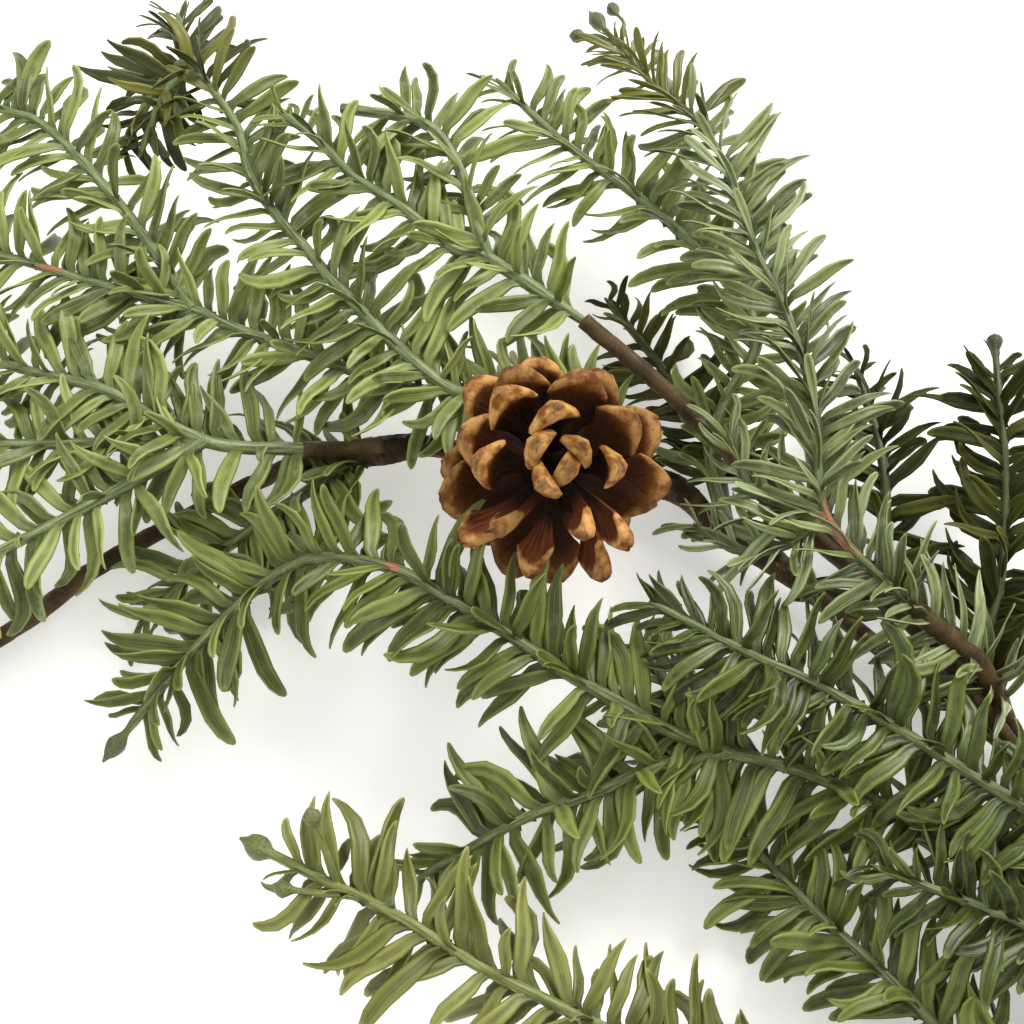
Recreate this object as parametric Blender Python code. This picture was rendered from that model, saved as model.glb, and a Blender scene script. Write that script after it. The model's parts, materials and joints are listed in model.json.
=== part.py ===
# Pine cone garland: moulded evergreen sprays and open pine cones bound on to a paper-taped wire stem.
# The garland lies on a table along X. Its growth runs from the butt end at +X to the tip end at -X.
# Lengths in the layout are millimetres; everything is built in metres, +Z up, standing on Z = 0.
import math

import bmesh
import bpy
import numpy as np
from mathutils import Matrix, Vector

MM = 0.001
CLEARANCE = 0.3                 # gap kept between pieces that touch
SHIFT = Vector((6.0, 18.0, -0.65))  # brings the middle of the layout to the origin

CORE_WIRE_RADIUS = 1.1
CORE_WIRE_PROUD = 7.0           # bare wire left at each cut end
TAPE_INNER_RADIUS = 1.7
TAPE_OUTER_RADIUS = 2.8
STEM_STEP = 13.0                # distance between the rings of the main stem

TWIG_RADIUS = 1.8
TWIG_TIP_RADIUS = 1.1
ROOT_GAP = 0.9                  # between a root and the stem that it lies along
LONG_STEM_RADIUS = 2.6
ROOT_STEP = 10.0                # distance between the rings of a bare root
NEEDLE_LENGTH = 20.0
NEEDLE_PITCH = 22.0
NEEDLE_SEAT = 3.4               # length of twig that one needle grows from
NEEDLE_RADIUS = 1.7             # half width of the coarse needle, used for clearances
NEEDLE_LEAN = math.radians(48)  # how far a needle leans towards the tip of its twig
NEEDLE_TAPER = 0.45
NEEDLE_MIN_FRACTION = 0.35      # a needle shorter than this is left off

BAND_HALF_LENGTH = 5.5
BAND_WALL = 0.9
LUMP_STEP = 0.8                 # how much shorter the winding is over a root than over the stem
ROOT_IN_BAND = 3.5              # how far a root reaches past the middle of its band

CONE_HALF_LENGTH = 26.0
CONE_SCALE_REACH = 33.0
CONE_CORE_RADIUS = 11.0
CONE_STUB_RADIUS = 2.6
CONE_STUB_LENGTH = 7.0
CONE_CORE_SHARE = 0.86          # height of the woody core as a share of the cone's
SCALE_HALF_WIDTH = 6.2          # of the coarse scales, at the middle of the cone
SCALE_NARROWING = 2.6           # how much narrower they are at its ends
SCALE_HALF_THICKNESS = 1.3
SCALE_RISE = 5.0                # how far a scale's edge stands above its root
TIE_WIRE_RADIUS = 0.45
TIE_CORNERS = 8                 # points in one turn of the tie wire
TIE_PITCH = 2.0                 # between its turns on the stem
TIE_STUB_PITCH = 2.4            # between its turns on the stub

FOLIAGE = (0.115, 0.19, 0.075, 1.0)
FOLIAGE_YELLOW = (0.23, 0.24, 0.07, 1.0)
FOLIAGE_DARK = (0.05, 0.085, 0.03, 1.0)
PAPER_TAPE = (0.13, 0.085, 0.06, 1.0)
STEEL = (0.45, 0.45, 0.46, 1.0)
CONE_WOOD = (0.35, 0.15, 0.045, 1.0)
TIE_GREEN = (0.03, 0.06, 0.03, 1.0)

MAIN_STEM = [
    (-332, -44, 5.2), (-285, -62, 5.2), (-230, -66, 5.6), (-185, -50, 7), (-146, -26, 9),
    (-126, -9, 10), (-103, 6, 11), (-75, 20, 15), (-60, 25, 19), (-33, 27, 24), (-22, 26, 24),
    (11, 23, 19), (48, 16, 14), (62, 5, 11), (86, -12, 9), (104, -29, 9), (140, -60, 10),
    (185, -96, 8), (235, -112, 6), (285, -104, 5.2), (332, -84, 5.2),
]

# Each spray: the place on the main stem where it is bound on (x), the angle round the stem at
# which its root lies (0 is on top, 90 is the +Y side), and its twigs. The first twig
# starts at the root; the others start at a point of an earlier twig of the same spray.
SPRAYS = {
    "spray_upper_left": dict(
        join=(44, 75), colour=FOLIAGE,
        twigs=[[(30, 31, 20), (8, 40, 25), (-16, 42, 31), (-32, 40, 36), (-81, 56, 42), (-94, 61, 45),
                (-126, 70, 46), (-152, 80, 44), (-185, 90, 38)],
               [(-94, 61, 45), (-116, 92, 50), (-142, 121, 52), (-158, 130, 50), (-180, 143, 46)],
               [(-94, 61, 45), (-104, 60, 39), (-115, 56, 32)]]),
    "spray_top_left": dict(
        join=(44, 10), colour=FOLIAGE,
        twigs=[[(30, 30, 27), (16, 35, 31), (2, 36, 35), (-17, 36, 41), (-35, 49, 47), (-50, 64, 51),
                (-60, 76, 53), (-71, 89, 55), (-79, 103, 55), (-83, 118, 55), (-91, 132, 54),
                (-100, 147, 52), (-108, 170, 47)],
               [(-100, 147, 52), (-106, 146, 50), (-114, 136, 47), (-121, 120, 43)],
               [(-96, 142, 53), (-104, 140, 52), (-110, 132, 49), (-115, 118, 45)]]),
    "spray_left": dict(
        join=(-40, -20), colour=FOLIAGE,
        twigs=[[(-64, 22, 31), (-88, 20, 40), (-116, 33, 46), (-147, 46, 37), (-185, 62, 32)],
               [(-88, 20, 40), (-144, 18, 42), (-190, 22, 38)],
               [(-88, 20, 40), (-113, 2, 42), (-140, -13, 40), (-180, -32, 34)]]),
    "spray_under_left": dict(
        join=(-40, 262), colour=FOLIAGE,
        twigs=[[(-63, 11, 21), (-73, 4, 20), (-91, -9, 15), (-108, -24, 11)]]),
    "spray_back": dict(
        join=None, colour=FOLIAGE,
        twigs=[[(-7, 74, 52), (-17, 76, 54), (-34, 89, 58), (-47, 97, 61), (-57, 107, 64), (-68, 116, 65)],
               [(-7, 74, 52), (-10, 83, 55), (-17, 105, 58), (-27, 117, 60), (-48, 122, 60)]]),
    "spray_front": dict(
        join=(172, 218), colour=FOLIAGE,
        twigs=[[(150, -88, 8), (128, -92, 14), (108, -84, 20), (90, -77, 25), (74, -72, 29), (59, -69, 32),
                (44, -65, 36), (29, -58, 40), (15, -51, 44), (0, -42, 48), (-15, -33, 50), (-31, -24, 51),
                (-53, -19, 47), (-70, -25, 39), (-90, -43, 31), (-109, -66, 24)],
               [(59, -69, 32), (36, -74, 34), (22, -80, 33), (4, -86, 31), (-14, -95, 27), (-24, -100, 23)],
               [(59, -69, 32), (45, -52, 27), (37, -34, 21)]]),
    "spray_low_left": dict(
        join=(238, 268), colour=FOLIAGE_YELLOW,
        twigs=[[(214, -138, 5), (180, -172, 10), (130, -178, 20), (90, -167, 30), (50, -152, 36),
                (17, -137, 42), (-7, -126, 46), (-26, -115, 48), (-47, -105, 48), (-65, -96, 45)]]),
    "spray_right_front": dict(
        join=(210, 0), colour=FOLIAGE,
        twigs=[[(186, -99, 21), (160, -98, 29), (128, -81, 36), (102, -65, 40), (80, -54, 45),
                (65, -48, 48), (51, -41, 50), (38, -34, 51)]]),
    "spray_lower_middle": dict(
        join=(210, 268), colour=FOLIAGE,
        twigs=[[(188, -122, 6), (160, -148, 12), (125, -150, 18), (97, -124, 18), (81, -108, 16),
                (67, -92, 13), (54, -80, 11)]]),
    "spray_right_back": dict(
        join=(148, 20), colour=FOLIAGE,
        twigs=[[(128, -45, 32), (107, -30, 43), (86, -8, 50), (84, 22, 56), (78, 52, 58), (72, 66, 60),
                (68, 80, 61), (64, 97, 60), (61, 110, 58), (54, 125, 55), (45, 136, 53), (36, 153, 49),
                (27, 171, 45)],
               [(86, -8, 50), (68, 0, 46), (60, 18, 50)],
               [(86, -8, 50), (75, -15, 46), (62, -15, 42), (52, -7, 40)]]),
    "spray_back_under": dict(
        join=(72, 30), colour=FOLIAGE,
        twigs=[[(59, 26, 20), (65, 42, 25), (74, 58, 31), (68, 74, 35), (56, 88, 37), (47, 98, 38),
                (37, 108, 38), (25, 117, 40), (11, 131, 40), (-4, 151, 38)]]),
    "spray_right_edge": dict(
        join=(148, 90), colour=FOLIAGE_DARK,
        twigs=[[(136, -34, 16), (140, -18, 22), (142, 0, 28), (143, 18, 33), (143, 39, 36),
                (144, 54, 36)]]),
    "spray_right_shade": dict(
        join=(120, 80), colour=FOLIAGE_DARK,
        twigs=[[(108, -12, 14), (110, 4, 20), (110, 26, 23), (106, 56, 20)]]),
    "spray_back_shade": dict(
        join=(72, 95), colour=FOLIAGE_DARK,
        twigs=[[(62, 30, 11), (48, 58, 12), (31, 84, 12)]]),
    "spray_lower_right": dict(
        join=(238, 30), colour=FOLIAGE,
        twigs=[[(214, -112, 18), (180, -122, 26), (150, -121, 30), (120, -109, 31), (95, -99, 30)]]),
    "spray_corner": dict(
        join=(262, 268), colour=FOLIAGE_DARK,
        twigs=[[(247, -134, 5), (236, -154, 7), (205, -196, 12), (160, -206, 14), (118, -198, 12)]]),
}

# The spray at the back middle stands on a long taped stem of its own, bound on at the right.
LONG_STEM = [(147, -76, 17), (134, -60, 23), (112, -33, 30), (79, 0, 34), (48, 33, 40), (21, 57, 45)]
LONG_STEM_JOIN = (172, 305)

# Past the middle, pairs of forked sprays leave the stem to the back and to the front. Each row is
# the place on the stem, the angle round it, the heading of the spray on the table (degrees from
# +X), its length, and the height that its tip rises to.
OUTER_SPRAYS = {
    "spray_far_left_1": (-178, 80, 148, 125, 34),
    "spray_far_left_2": (-178, 270, 222, 118, 22),
    "spray_far_left_3": (-252, 80, 112, 112, 24),
    "spray_far_left_4": (-252, 270, 212, 120, 20),
    "spray_far_left_5": (-252, 0, 180, 126, 46),
    "spray_far_left_6": (-312, 85, 138, 92, 36),
    "spray_far_left_7": (-312, 275, 208, 112, 18),
    "spray_far_left_tip": (-312, 0, 174, 128, 24),
    "spray_far_right_1": (294, 85, 112, 118, 26),
    "spray_far_right_2": (294, 275, 242, 112, 22),
    "spray_far_right_3": (318, 60, 42, 118, 26),
    "spray_far_right_4": (318, 300, -42, 112, 22),
    "spray_far_right_5": (262, 80, 138, 118, 38),
    "spray_far_right_tip": (318, 0, 2, 112, 34),
}

# Each cone: the place on the stem where it is wired on, the middle of the cone over that place
# (sideways and up), and the direction in which its tip points.
CONES = {
    "pine_cone_middle": dict(at=11, middle=(-1.5, -18.5, 55), tip=(0.15, -0.44, 0.885)),
    "pine_cone_left": dict(at=-218, middle=(0, -4, 42), tip=(-0.30, -0.25, 0.90)),
    "pine_cone_right": dict(at=270, middle=(2, -8, 42), tip=(0.20, -0.42, 0.88)),
}


# ---- paths -------------------------------------------------------------------------------------

def smooth(points, step):
    """Points about `step` apart along a smooth curve through the given points."""
    pts = [Vector(p) for p in points]
    pts = [2 * pts[0] - pts[1]] + pts + [2 * pts[-1] - pts[-2]]
    fine = []
    for a, b, c, d in zip(pts, pts[1:], pts[2:], pts[3:]):
        for k in range(12):
            t = k / 12
            fine.append(0.5 * (2 * b + (c - a) * t + (2 * a - 5 * b + 4 * c - d) * t * t
                               + (3 * b - a - 3 * c + d) * t ** 3))
    fine.append(pts[-2])
    return resample(fine, step)


def resample(path, step):
    length = sum((b - a).length for a, b in zip(path, path[1:]))
    count = max(2, round(length / step) + 1)
    return [along(path, length * k / (count - 1)) for k in range(count)]


def along(path, distance):
    """The point at this distance along a path of straight runs."""
    for a, b in zip(path, path[1:]):
        run = (b - a).length
        if distance <= run:
            return a.lerp(b, distance / run)
        distance -= run
    return path[-1].copy()


def path_length(path):
    return sum((b - a).length for a, b in zip(path, path[1:]))


STEM_PATH = smooth(MAIN_STEM, 2.0)


def stem_index(x):
    return min(range(len(STEM_PATH)), key=lambda i: abs(STEM_PATH[i].x - x))


def stem_frame(x):
    """The middle of the main stem at x, its direction towards the tip end, and its sides."""
    i = stem_index(x)
    tangent = (STEM_PATH[max(i - 1, 0)] - STEM_PATH[min(i + 1, len(STEM_PATH) - 1)]).normalized()
    side = tangent.cross(Vector((0, 0, 1))).normalized()
    return STEM_PATH[i], tangent, side, side.cross(tangent)


def beside_stem(x, slide, angle, radius=TWIG_RADIUS):
    """A point on the middle of a root beside the stem, `slide` towards the tip end from x."""
    middle, tangent, side, up = stem_frame(x - slide)
    turn = math.radians(angle)
    reach = TAPE_OUTER_RADIUS + ROOT_GAP + radius
    return middle + reach * (math.cos(turn) * up + math.sin(turn) * side)


def root_points(x, angle, towards_butt=False, radius=TWIG_RADIUS):
    sign = -1 if towards_butt else 1
    return [beside_stem(x, sign * s, angle, radius)
            for s in (-ROOT_IN_BAND, 0, BAND_HALF_LENGTH, BAND_HALF_LENGTH + 4)]


def long_stem_path():
    points = root_points(*LONG_STEM_JOIN, radius=LONG_STEM_RADIUS) + [Vector(p) for p in LONG_STEM]
    return smooth(points, 3.0)


# ---- tubes -------------------------------------------------------------------------------------

def tube_object(name, path, radii, sides=4, capped=True):
    """A curve with a round bevel along the path; radii is one number or one for each point."""
    curve = bpy.data.curves.new(name, "CURVE")
    curve.dimensions = "3D"
    curve.twist_mode = "Z_UP"
    curve.bevel_depth = MM
    curve.bevel_resolution = (sides - 4) // 2
    curve.use_fill_caps = capped
    spline = curve.splines.new("POLY")
    spline.points.add(len(path) - 1)
    for k, (point, place) in enumerate(zip(spline.points, path)):
        point.co = (*((place + SHIFT) * MM), 1)
        point.radius = radii if isinstance(radii, (int, float)) else radii[k]
    tube = bpy.data.objects.new(name, curve)
    collection.objects.link(tube)
    return tube


def to_mesh(tube):
    """Turns a tube into a mesh object with its caps welded on."""
    bpy.context.view_layer.update()
    evaluated = tube.evaluated_get(bpy.context.evaluated_depsgraph_get())
    mesh = bpy.data.meshes.new_from_object(evaluated)
    bm = bmesh.new()
    bm.from_mesh(mesh)
    bmesh.ops.remove_doubles(bm, verts=bm.verts, dist=0.005 * MM)
    bm.to_mesh(mesh)
    bm.free()
    name, home, place = tube.name, tube.users_collection[0], tube.matrix_world.copy()
    curve = tube.data
    bpy.data.objects.remove(tube)
    bpy.data.curves.remove(curve)
    body = bpy.data.objects.new(name, mesh)
    body.matrix_world = place
    home.objects.link(body)
    return body


def combine(body, others, operation):
    """Applies one exact Boolean with each of the other objects, which are then removed."""
    for other in others:
        step = body.modifiers.new(operation.lower(), "BOOLEAN")
        step.operation = operation
        step.solver = "EXACT"
        step.object = other
    bpy.context.view_layer.update()
    evaluated = body.evaluated_get(bpy.context.evaluated_depsgraph_get())
    mesh = bpy.data.meshes.new_from_object(evaluated)
    body.modifiers.clear()
    body.data = mesh
    for other in others:
        spare = other.data
        bpy.data.objects.remove(other)
        bpy.data.meshes.remove(spare)
    return body


def finish(body, colour, roughness, metallic=0.0):
    material = bpy.data.materials.new(body.name)
    material.use_nodes = True
    shader = material.node_tree.nodes["Principled BSDF"]
    shader.inputs["Base Color"].default_value = colour
    shader.inputs["Roughness"].default_value = roughness
    shader.inputs["Metallic"].default_value = metallic
    material.diffuse_color = colour
    body.data.materials.clear()
    body.data.materials.append(material)
    body.data.shade_smooth()
    body.data.set_sharp_from_angle(angle=math.radians(35))
    return body


# ---- what is already in the way ----------------------------------------------------------------

class Taken:
    """Round-ended rods that stand for every twig, stem, cone and needle placed so far."""

    def __init__(self):
        self.starts, self.ends, self.radii, self.owners = [], [], [], []

    def add(self, start, end, radius, owner):
        self.starts.append(start)
        self.ends.append(end)
        self.radii.append(radius)
        self.owners.append(owner)

    def add_path(self, path, radius, owner):
        for a, b in zip(path, path[1:]):
            self.add(a, b, radius, owner)

    def room(self, start, end, radius, owner):
        """The gap between this rod and the nearest one that belongs to another piece."""
        others = [k for k, name in enumerate(self.owners) if name != owner]
        a = np.array([self.starts[k] for k in others])
        b = np.array([self.ends[k] for k in others])
        r = np.array([self.radii[k] for k in others])
        return float((rod_distance(np.array(start), np.array(end), a, b) - r).min() - radius)


def rod_distance(p, q, a, b):
    """Distance from the segment p-q to each of the segments a-b."""
    u, v, w = q - p, b - a, p - a
    uu = u @ u
    uv = v @ u
    vv = np.maximum((v * v).sum(1), 1e-9)
    uw = w @ u
    vw = (v * w).sum(1)
    spread = uu * vv - uv * uv
    s = np.where(spread > 1e-9, (uv * vw - vv * uw) / np.maximum(spread, 1e-9), 0.0)
    s = np.clip(s, 0, 1)
    t = np.clip((uv * s + vw) / vv, 0, 1)
    s = np.clip((uv * t - uw) / uu, 0, 1)
    gap = (p + s[:, None] * u) - (a + t[:, None] * v)
    return np.sqrt((gap * gap).sum(1))


# ---- sprays ------------------------------------------------------------------------------------

def twig_rings(path, bare_start):
    """Ring places along a twig: a short stretch for each needle, a longer one between."""
    length = path_length(path)
    usable = length - bare_start - 4
    count = max(1, int(usable // NEEDLE_PITCH))
    marks, seats = [0.0], []
    for k in range(count):
        start = bare_start + (k + 0.5) * usable / count - NEEDLE_SEAT / 2
        marks += [start, start + NEEDLE_SEAT]
        seats.append(start + NEEDLE_SEAT / 2)
    marks.append(length)
    extra = int(marks[1] // ROOT_STEP)
    marks[1:1] = [marks[1] * (k + 1) / (extra + 1) for k in range(extra)]
    return [along(path, m) for m in marks], [along(path, m) for m in seats]


def twig_sides(rings, seat):
    """Direction of the twig at a seat, its side, and its upper face."""
    near = min(range(len(rings) - 1), key=lambda k: ((rings[k] + rings[k + 1]) / 2 - seat).length)
    tangent = (rings[near + 1] - rings[near]).normalized()
    side = tangent.cross(Vector((0, 0, 1))).normalized()
    return tangent, side, side.cross(tangent)


def needle_way(tangent, side, up, sign, rise):
    out = math.cos(rise) * sign * side + math.sin(rise) * up
    return (math.cos(NEEDLE_LEAN) * out + math.sin(NEEDLE_LEAN) * tangent).normalized()


def grow_needle(bm, seat, frame, sign, upper, owner, taken):
    """Draws one face of the twig out into a needle, in the first way that is clear."""
    tangent, side, up = frame
    faces = [f for f in bm.faces if len(f.verts) == 4
             and (f.calc_center_median() / MM - SHIFT - seat).length < TWIG_RADIUS * 1.2]
    lift = 1 if upper else -1
    want = (sign * side + lift * up).normalized()
    faces = [f for f in faces if f.normal.dot(want) > 0.8]
    if not faces:
        return
    face = faces[0]
    start = face.calc_center_median() / MM - SHIFT
    rises = (22, 45, 5) if upper else (-18, -2, -40)
    for fraction in (1.0, 0.7, NEEDLE_MIN_FRACTION):
        for rise in rises:
            way = needle_way(tangent, side, up, sign, math.radians(rise))
            tip = start + way * NEEDLE_LENGTH * fraction
            tip.z = max(tip.z, NEEDLE_RADIUS * NEEDLE_TAPER)
            if taken.room(start, tip, NEEDLE_RADIUS, owner) > CLEARANCE:
                taken.add(start, tip, NEEDLE_RADIUS, owner)
                new = bmesh.ops.extrude_discrete_faces(bm, faces=[face])["faces"][0]
                middle = new.calc_center_median()
                for vert in new.verts:
                    vert.co = (tip + SHIFT) * MM + (vert.co - middle) * NEEDLE_TAPER
                return


def make_spray(name, spray, taken):
    """One moulded spray: its twigs, their needles, joined into one solid."""
    bodies = []
    for number, (path, bare) in enumerate(spray["paths"]):
        rings, seats = twig_rings(path, bare)
        count = len(rings) - 1
        radii = [TWIG_RADIUS + (TWIG_TIP_RADIUS - TWIG_RADIUS) * k / count for k in range(count + 1)]
        twig = to_mesh(tube_object(f"{name}_twig_{number}" if number else name, rings, radii))
        bm = bmesh.new()
        bm.from_mesh(twig.data)
        bm.normal_update()
        for k, seat in enumerate(seats):
            frame = twig_sides(rings, seat)
            for sign in (1, -1):
                grow_needle(bm, seat, frame, sign, k % 2 == 0, name, taken)
                bm.normal_update()
        for vert in bm.verts:
            vert.co.z = max(vert.co.z, 0.0)
        bm.to_mesh(twig.data)
        bm.free()
        bodies.append(twig)
    body = combine(bodies[0], bodies[1:], "UNION") if len(bodies) > 1 else bodies[0]
    return finish(body, spray["colour"], 0.45)


def outer_spray(x, angle, heading, length, lift):
    """A forked spray for the ends of the garland: one bowed twig and two side twigs."""
    towards_butt = abs(heading) < 90
    root = root_points(x, angle, towards_butt)
    way = Vector((math.cos(math.radians(heading)), math.sin(math.radians(heading)), 0))
    side = Vector((-way.y, way.x, 0))
    start = root[-1]
    low = max(start.z, 5.0)

    def point(forward, across):
        share = forward / length
        height = low + (lift - low) * math.sin(share * math.pi * 0.62)
        bow = 8 * math.sin(share * math.pi)
        return start + way * forward + side * (across + bow) + Vector((0, 0, height - start.z))

    main = [point(length * f, 0) for f in (0.2, 0.42, 0.7, 1.0)]
    left = [main[1], point(length * 0.66, 24), point(length * 0.84, 34)]
    right = [main[0], point(length * 0.45, -22), point(length * 0.66, -36)]
    return dict(join=(x, angle), colour=FOLIAGE, twigs=[main, left, right], butt=towards_butt)


def lay_out_sprays():
    sprays = dict(SPRAYS)
    for name, row in OUTER_SPRAYS.items():
        sprays[name] = outer_spray(*row)
    for name, spray in sprays.items():
        spray["paths"] = []
        for number, points in enumerate(spray["twigs"]):
            points = [Vector(p) for p in points]
            bare = 5.0
            if number == 0 and spray["join"]:
                points = root_points(*spray["join"], spray.get("butt", False)) + points
                bare = 28.0
            elif number == 0:
                end, before = long_stem_path()[-1], long_stem_path()[-2]
                points = [end + (end - before).normalized() * CLEARANCE] + points
            spray["paths"].append((smooth(points, 3.0), bare))
    return sprays


# ---- cones -------------------------------------------------------------------------------------

def cone_place(cone):
    """Middle of the cone, its stub's lower end, and the turn that stands it on its axis."""
    foot = stem_frame(cone["at"])[0]
    middle = Vector((foot.x + cone["middle"][0], foot.y + cone["middle"][1], cone["middle"][2]))
    tip = Vector(cone["tip"]).normalized()
    stub = middle - tip * (CONE_HALF_LENGTH + CONE_STUB_LENGTH)
    return middle, stub, tip, tip.to_track_quat("Z", "Y").to_matrix().to_4x4()


def make_cone(name, cone):
    """An open cone: a woody core whose every other face is drawn out into a scale."""
    middle, stub, tip, turn = cone_place(cone)
    bm = bmesh.new()
    bmesh.ops.create_uvsphere(bm, u_segments=10, v_segments=8, radius=1.0)
    for vert in bm.verts:
        vert.co = Vector((vert.co.x * CONE_CORE_RADIUS, vert.co.y * CONE_CORE_RADIUS,
                          vert.co.z * CONE_HALF_LENGTH * CONE_CORE_SHARE))
    sides = [f for f in bm.faces if len(f.verts) == 4]
    sides.sort(key=lambda f: (round(f.calc_center_median().z, 3),
                              math.atan2(f.calc_center_median().y, f.calc_center_median().x)))
    picked = [f for k, f in enumerate(sides) if (k % 10 + k // 10) % 2 == 0]
    for face in bmesh.ops.extrude_discrete_faces(bm, faces=picked)["faces"]:
        centre = face.calc_center_median()
        height = centre.z / CONE_HALF_LENGTH
        out = Vector((centre.x, centre.y, 0)).normalized()
        reach = CONE_SCALE_REACH * math.sqrt(max(0.1, 1 - (0.35 + height * 0.75) ** 2 * 0.62))
        reach -= 6 * height + 7 * max(0, height)
        target = out * reach + Vector((0, 0, centre.z * CONE_CORE_SHARE + SCALE_RISE - 3 * height))
        across = Vector((-out.y, out.x, 0))
        for vert in face.verts:
            offset = vert.co - centre
            wide = offset.dot(across)
            thick = math.copysign(SCALE_HALF_THICKNESS, offset.z)
            half = SCALE_HALF_WIDTH - SCALE_NARROWING * abs(height)
            vert.co = target + across * math.copysign(half, wide) + Vector((0, 0, thick))
    mesh = bpy.data.meshes.new(name)
    bm.to_mesh(mesh)
    bm.free()
    mesh.transform(Matrix.Scale(MM, 4) @ Matrix.Translation(middle + SHIFT) @ turn)
    body = bpy.data.objects.new(name, mesh)
    collection.objects.link(body)
    stalk = to_mesh(tube_object(name + "_stub", [stub, middle - tip * 8], CONE_STUB_RADIUS, 8))
    return finish(combine(body, [stalk], "UNION"), CONE_WOOD, 0.7)


def make_cone_tie(name, cone):
    """The wire that holds a cone: two turns round the stem, then one and a quarter round its stub."""
    middle, stub, tip, turn = cone_place(cone)
    foot, along_stem, side, up = stem_frame(cone["at"])
    reach = TAPE_OUTER_RADIUS + CLEARANCE + 2 * TIE_WIRE_RADIUS
    path = []
    for k in range(2 * TIE_CORNERS + 1):
        angle = math.pi * 2 * k / TIE_CORNERS
        path.append(foot + along_stem * (k / TIE_CORNERS - 1) * TIE_PITCH
                    + reach * (math.cos(angle) * up + math.sin(angle) * side))
    reach = CONE_STUB_RADIUS + CLEARANCE + 2 * TIE_WIRE_RADIUS
    for k in range(TIE_CORNERS + 3):
        angle = math.pi * 2 * k / TIE_CORNERS
        height = 1.0 + k / TIE_CORNERS * TIE_STUB_PITCH
        local = Vector((math.cos(angle) * reach, math.sin(angle) * reach, height))
        path.append(stub + turn.to_3x3() @ local)
    return finish(to_mesh(tube_object(name, path, TIE_WIRE_RADIUS)), TIE_GREEN, 0.5, 0.3)


# ---- stem and bands ----------------------------------------------------------------------------

def make_stem_wire():
    ends = [STEM_PATH[0] + (STEM_PATH[0] - STEM_PATH[3]).normalized() * CORE_WIRE_PROUD,
            STEM_PATH[-1] + (STEM_PATH[-1] - STEM_PATH[-4]).normalized() * CORE_WIRE_PROUD]
    path = [ends[0]] + resample(STEM_PATH, STEM_STEP) + [ends[1]]
    return finish(to_mesh(tube_object("stem_core_wire", path, CORE_WIRE_RADIUS)), STEEL, 0.4, 1.0)


def make_stem_tape():
    path = resample(STEM_PATH, STEM_STEP)
    tape = to_mesh(tube_object("stem_paper_tape", path, TAPE_OUTER_RADIUS, 6))
    ahead = [path[0] + (path[0] - path[1])] + path[1:-1] + [path[-1] + (path[-1] - path[-2])]
    bore = to_mesh(tube_object("stem_bore", ahead, TAPE_INNER_RADIUS, 4))
    return finish(combine(tape, [bore], "DIFFERENCE"), PAPER_TAPE, 0.85)


def make_long_stem():
    path = resample(long_stem_path(), STEM_STEP)
    return finish(to_mesh(tube_object("long_taped_stem", path, LONG_STEM_RADIUS, 6)), PAPER_TAPE, 0.85)


def make_band(name, x, roots):
    """A winding of paper tape round the stem and the roots that are bound on there."""
    stretch = [stem_frame(x + s)[0] for s in (BAND_HALF_LENGTH, -BAND_HALF_LENGTH)]
    beyond = [stem_frame(x + s)[0] for s in (BAND_HALF_LENGTH + 2, -BAND_HALF_LENGTH - 2)]
    six = 1 / math.cos(math.pi / 6)
    hole = TAPE_OUTER_RADIUS + 1.5 * CLEARANCE
    band = to_mesh(tube_object(name, stretch, (hole + BAND_WALL) * six, 6))
    lumps, cutters = [], [to_mesh(tube_object("hole", beyond, hole * six, 6))]
    for number, (angle, radius) in enumerate(roots):
        reach = BAND_HALF_LENGTH - LUMP_STEP * (number + 1)
        over = [beside_stem(x, s, angle, radius) for s in (reach, -reach)]
        through = [beside_stem(x, s, angle, radius) for s in (BAND_HALF_LENGTH + 2, -BAND_HALF_LENGTH - 2)]
        hole = radius + 2 * CLEARANCE
        lumps.append(to_mesh(tube_object(f"lump_{number}", over, (hole + BAND_WALL) * six, 6)))
        cutters.append(to_mesh(tube_object(f"root_hole_{number}", through, hole * six, 6)))
    combine(band, lumps, "UNION")
    hollow = combine(cutters[0], cutters[1:], "UNION")
    return finish(combine(band, [hollow], "DIFFERENCE"), PAPER_TAPE, 0.85)


# ---- the garland -------------------------------------------------------------------------------

for old in list(bpy.data.objects):
    bpy.data.objects.remove(old)
collection = bpy.data.collections.new("pine_cone_garland")
bpy.context.scene.collection.children.link(collection)

sprays = lay_out_sprays()
taken = Taken()
taken.add_path(resample(STEM_PATH, STEM_STEP), TAPE_OUTER_RADIUS, "stem_paper_tape")
joins = {}
for name, spray in sprays.items():
    for path, bare in spray["paths"]:
        taken.add_path(resample(path, 8.0), TWIG_RADIUS, name)
    if spray["join"]:
        x, angle = spray["join"]
        joins.setdefault(x, []).append((angle, TWIG_RADIUS))
joins[LONG_STEM_JOIN[0]].append((LONG_STEM_JOIN[1], LONG_STEM_RADIUS))
taken.add_path(resample(long_stem_path(), STEM_STEP), LONG_STEM_RADIUS, "long_taped_stem")
for name, cone in CONES.items():
    middle, stub, tip, turn = cone_place(cone)
    taken.add(middle - tip * 3, middle + tip * 3, CONE_SCALE_REACH + 1, name)
    taken.add(stub, middle, 5.0, name)

make_stem_wire()
make_stem_tape()
make_long_stem()
for number, (x, roots) in enumerate(sorted(joins.items()), 1):
    make_band(f"tape_band_{number}", x, roots)
    taken.add_path([stem_frame(x + BAND_HALF_LENGTH)[0], stem_frame(x - BAND_HALF_LENGTH)[0]],
                   TAPE_OUTER_RADIUS + 2, f"tape_band_{number}")
for number, (name, cone) in enumerate(CONES.items(), 1):
    make_cone(name, cone)
    make_cone_tie(f"cone_tie_wire_{number}", cone)
for name, spray in sprays.items():
    make_spray(name, spray, taken)
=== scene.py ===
import json
import random
from math import cos, pi, radians, sin, sqrt

import bmesh
import bpy
from mathutils import Matrix, Vector, noise

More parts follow.
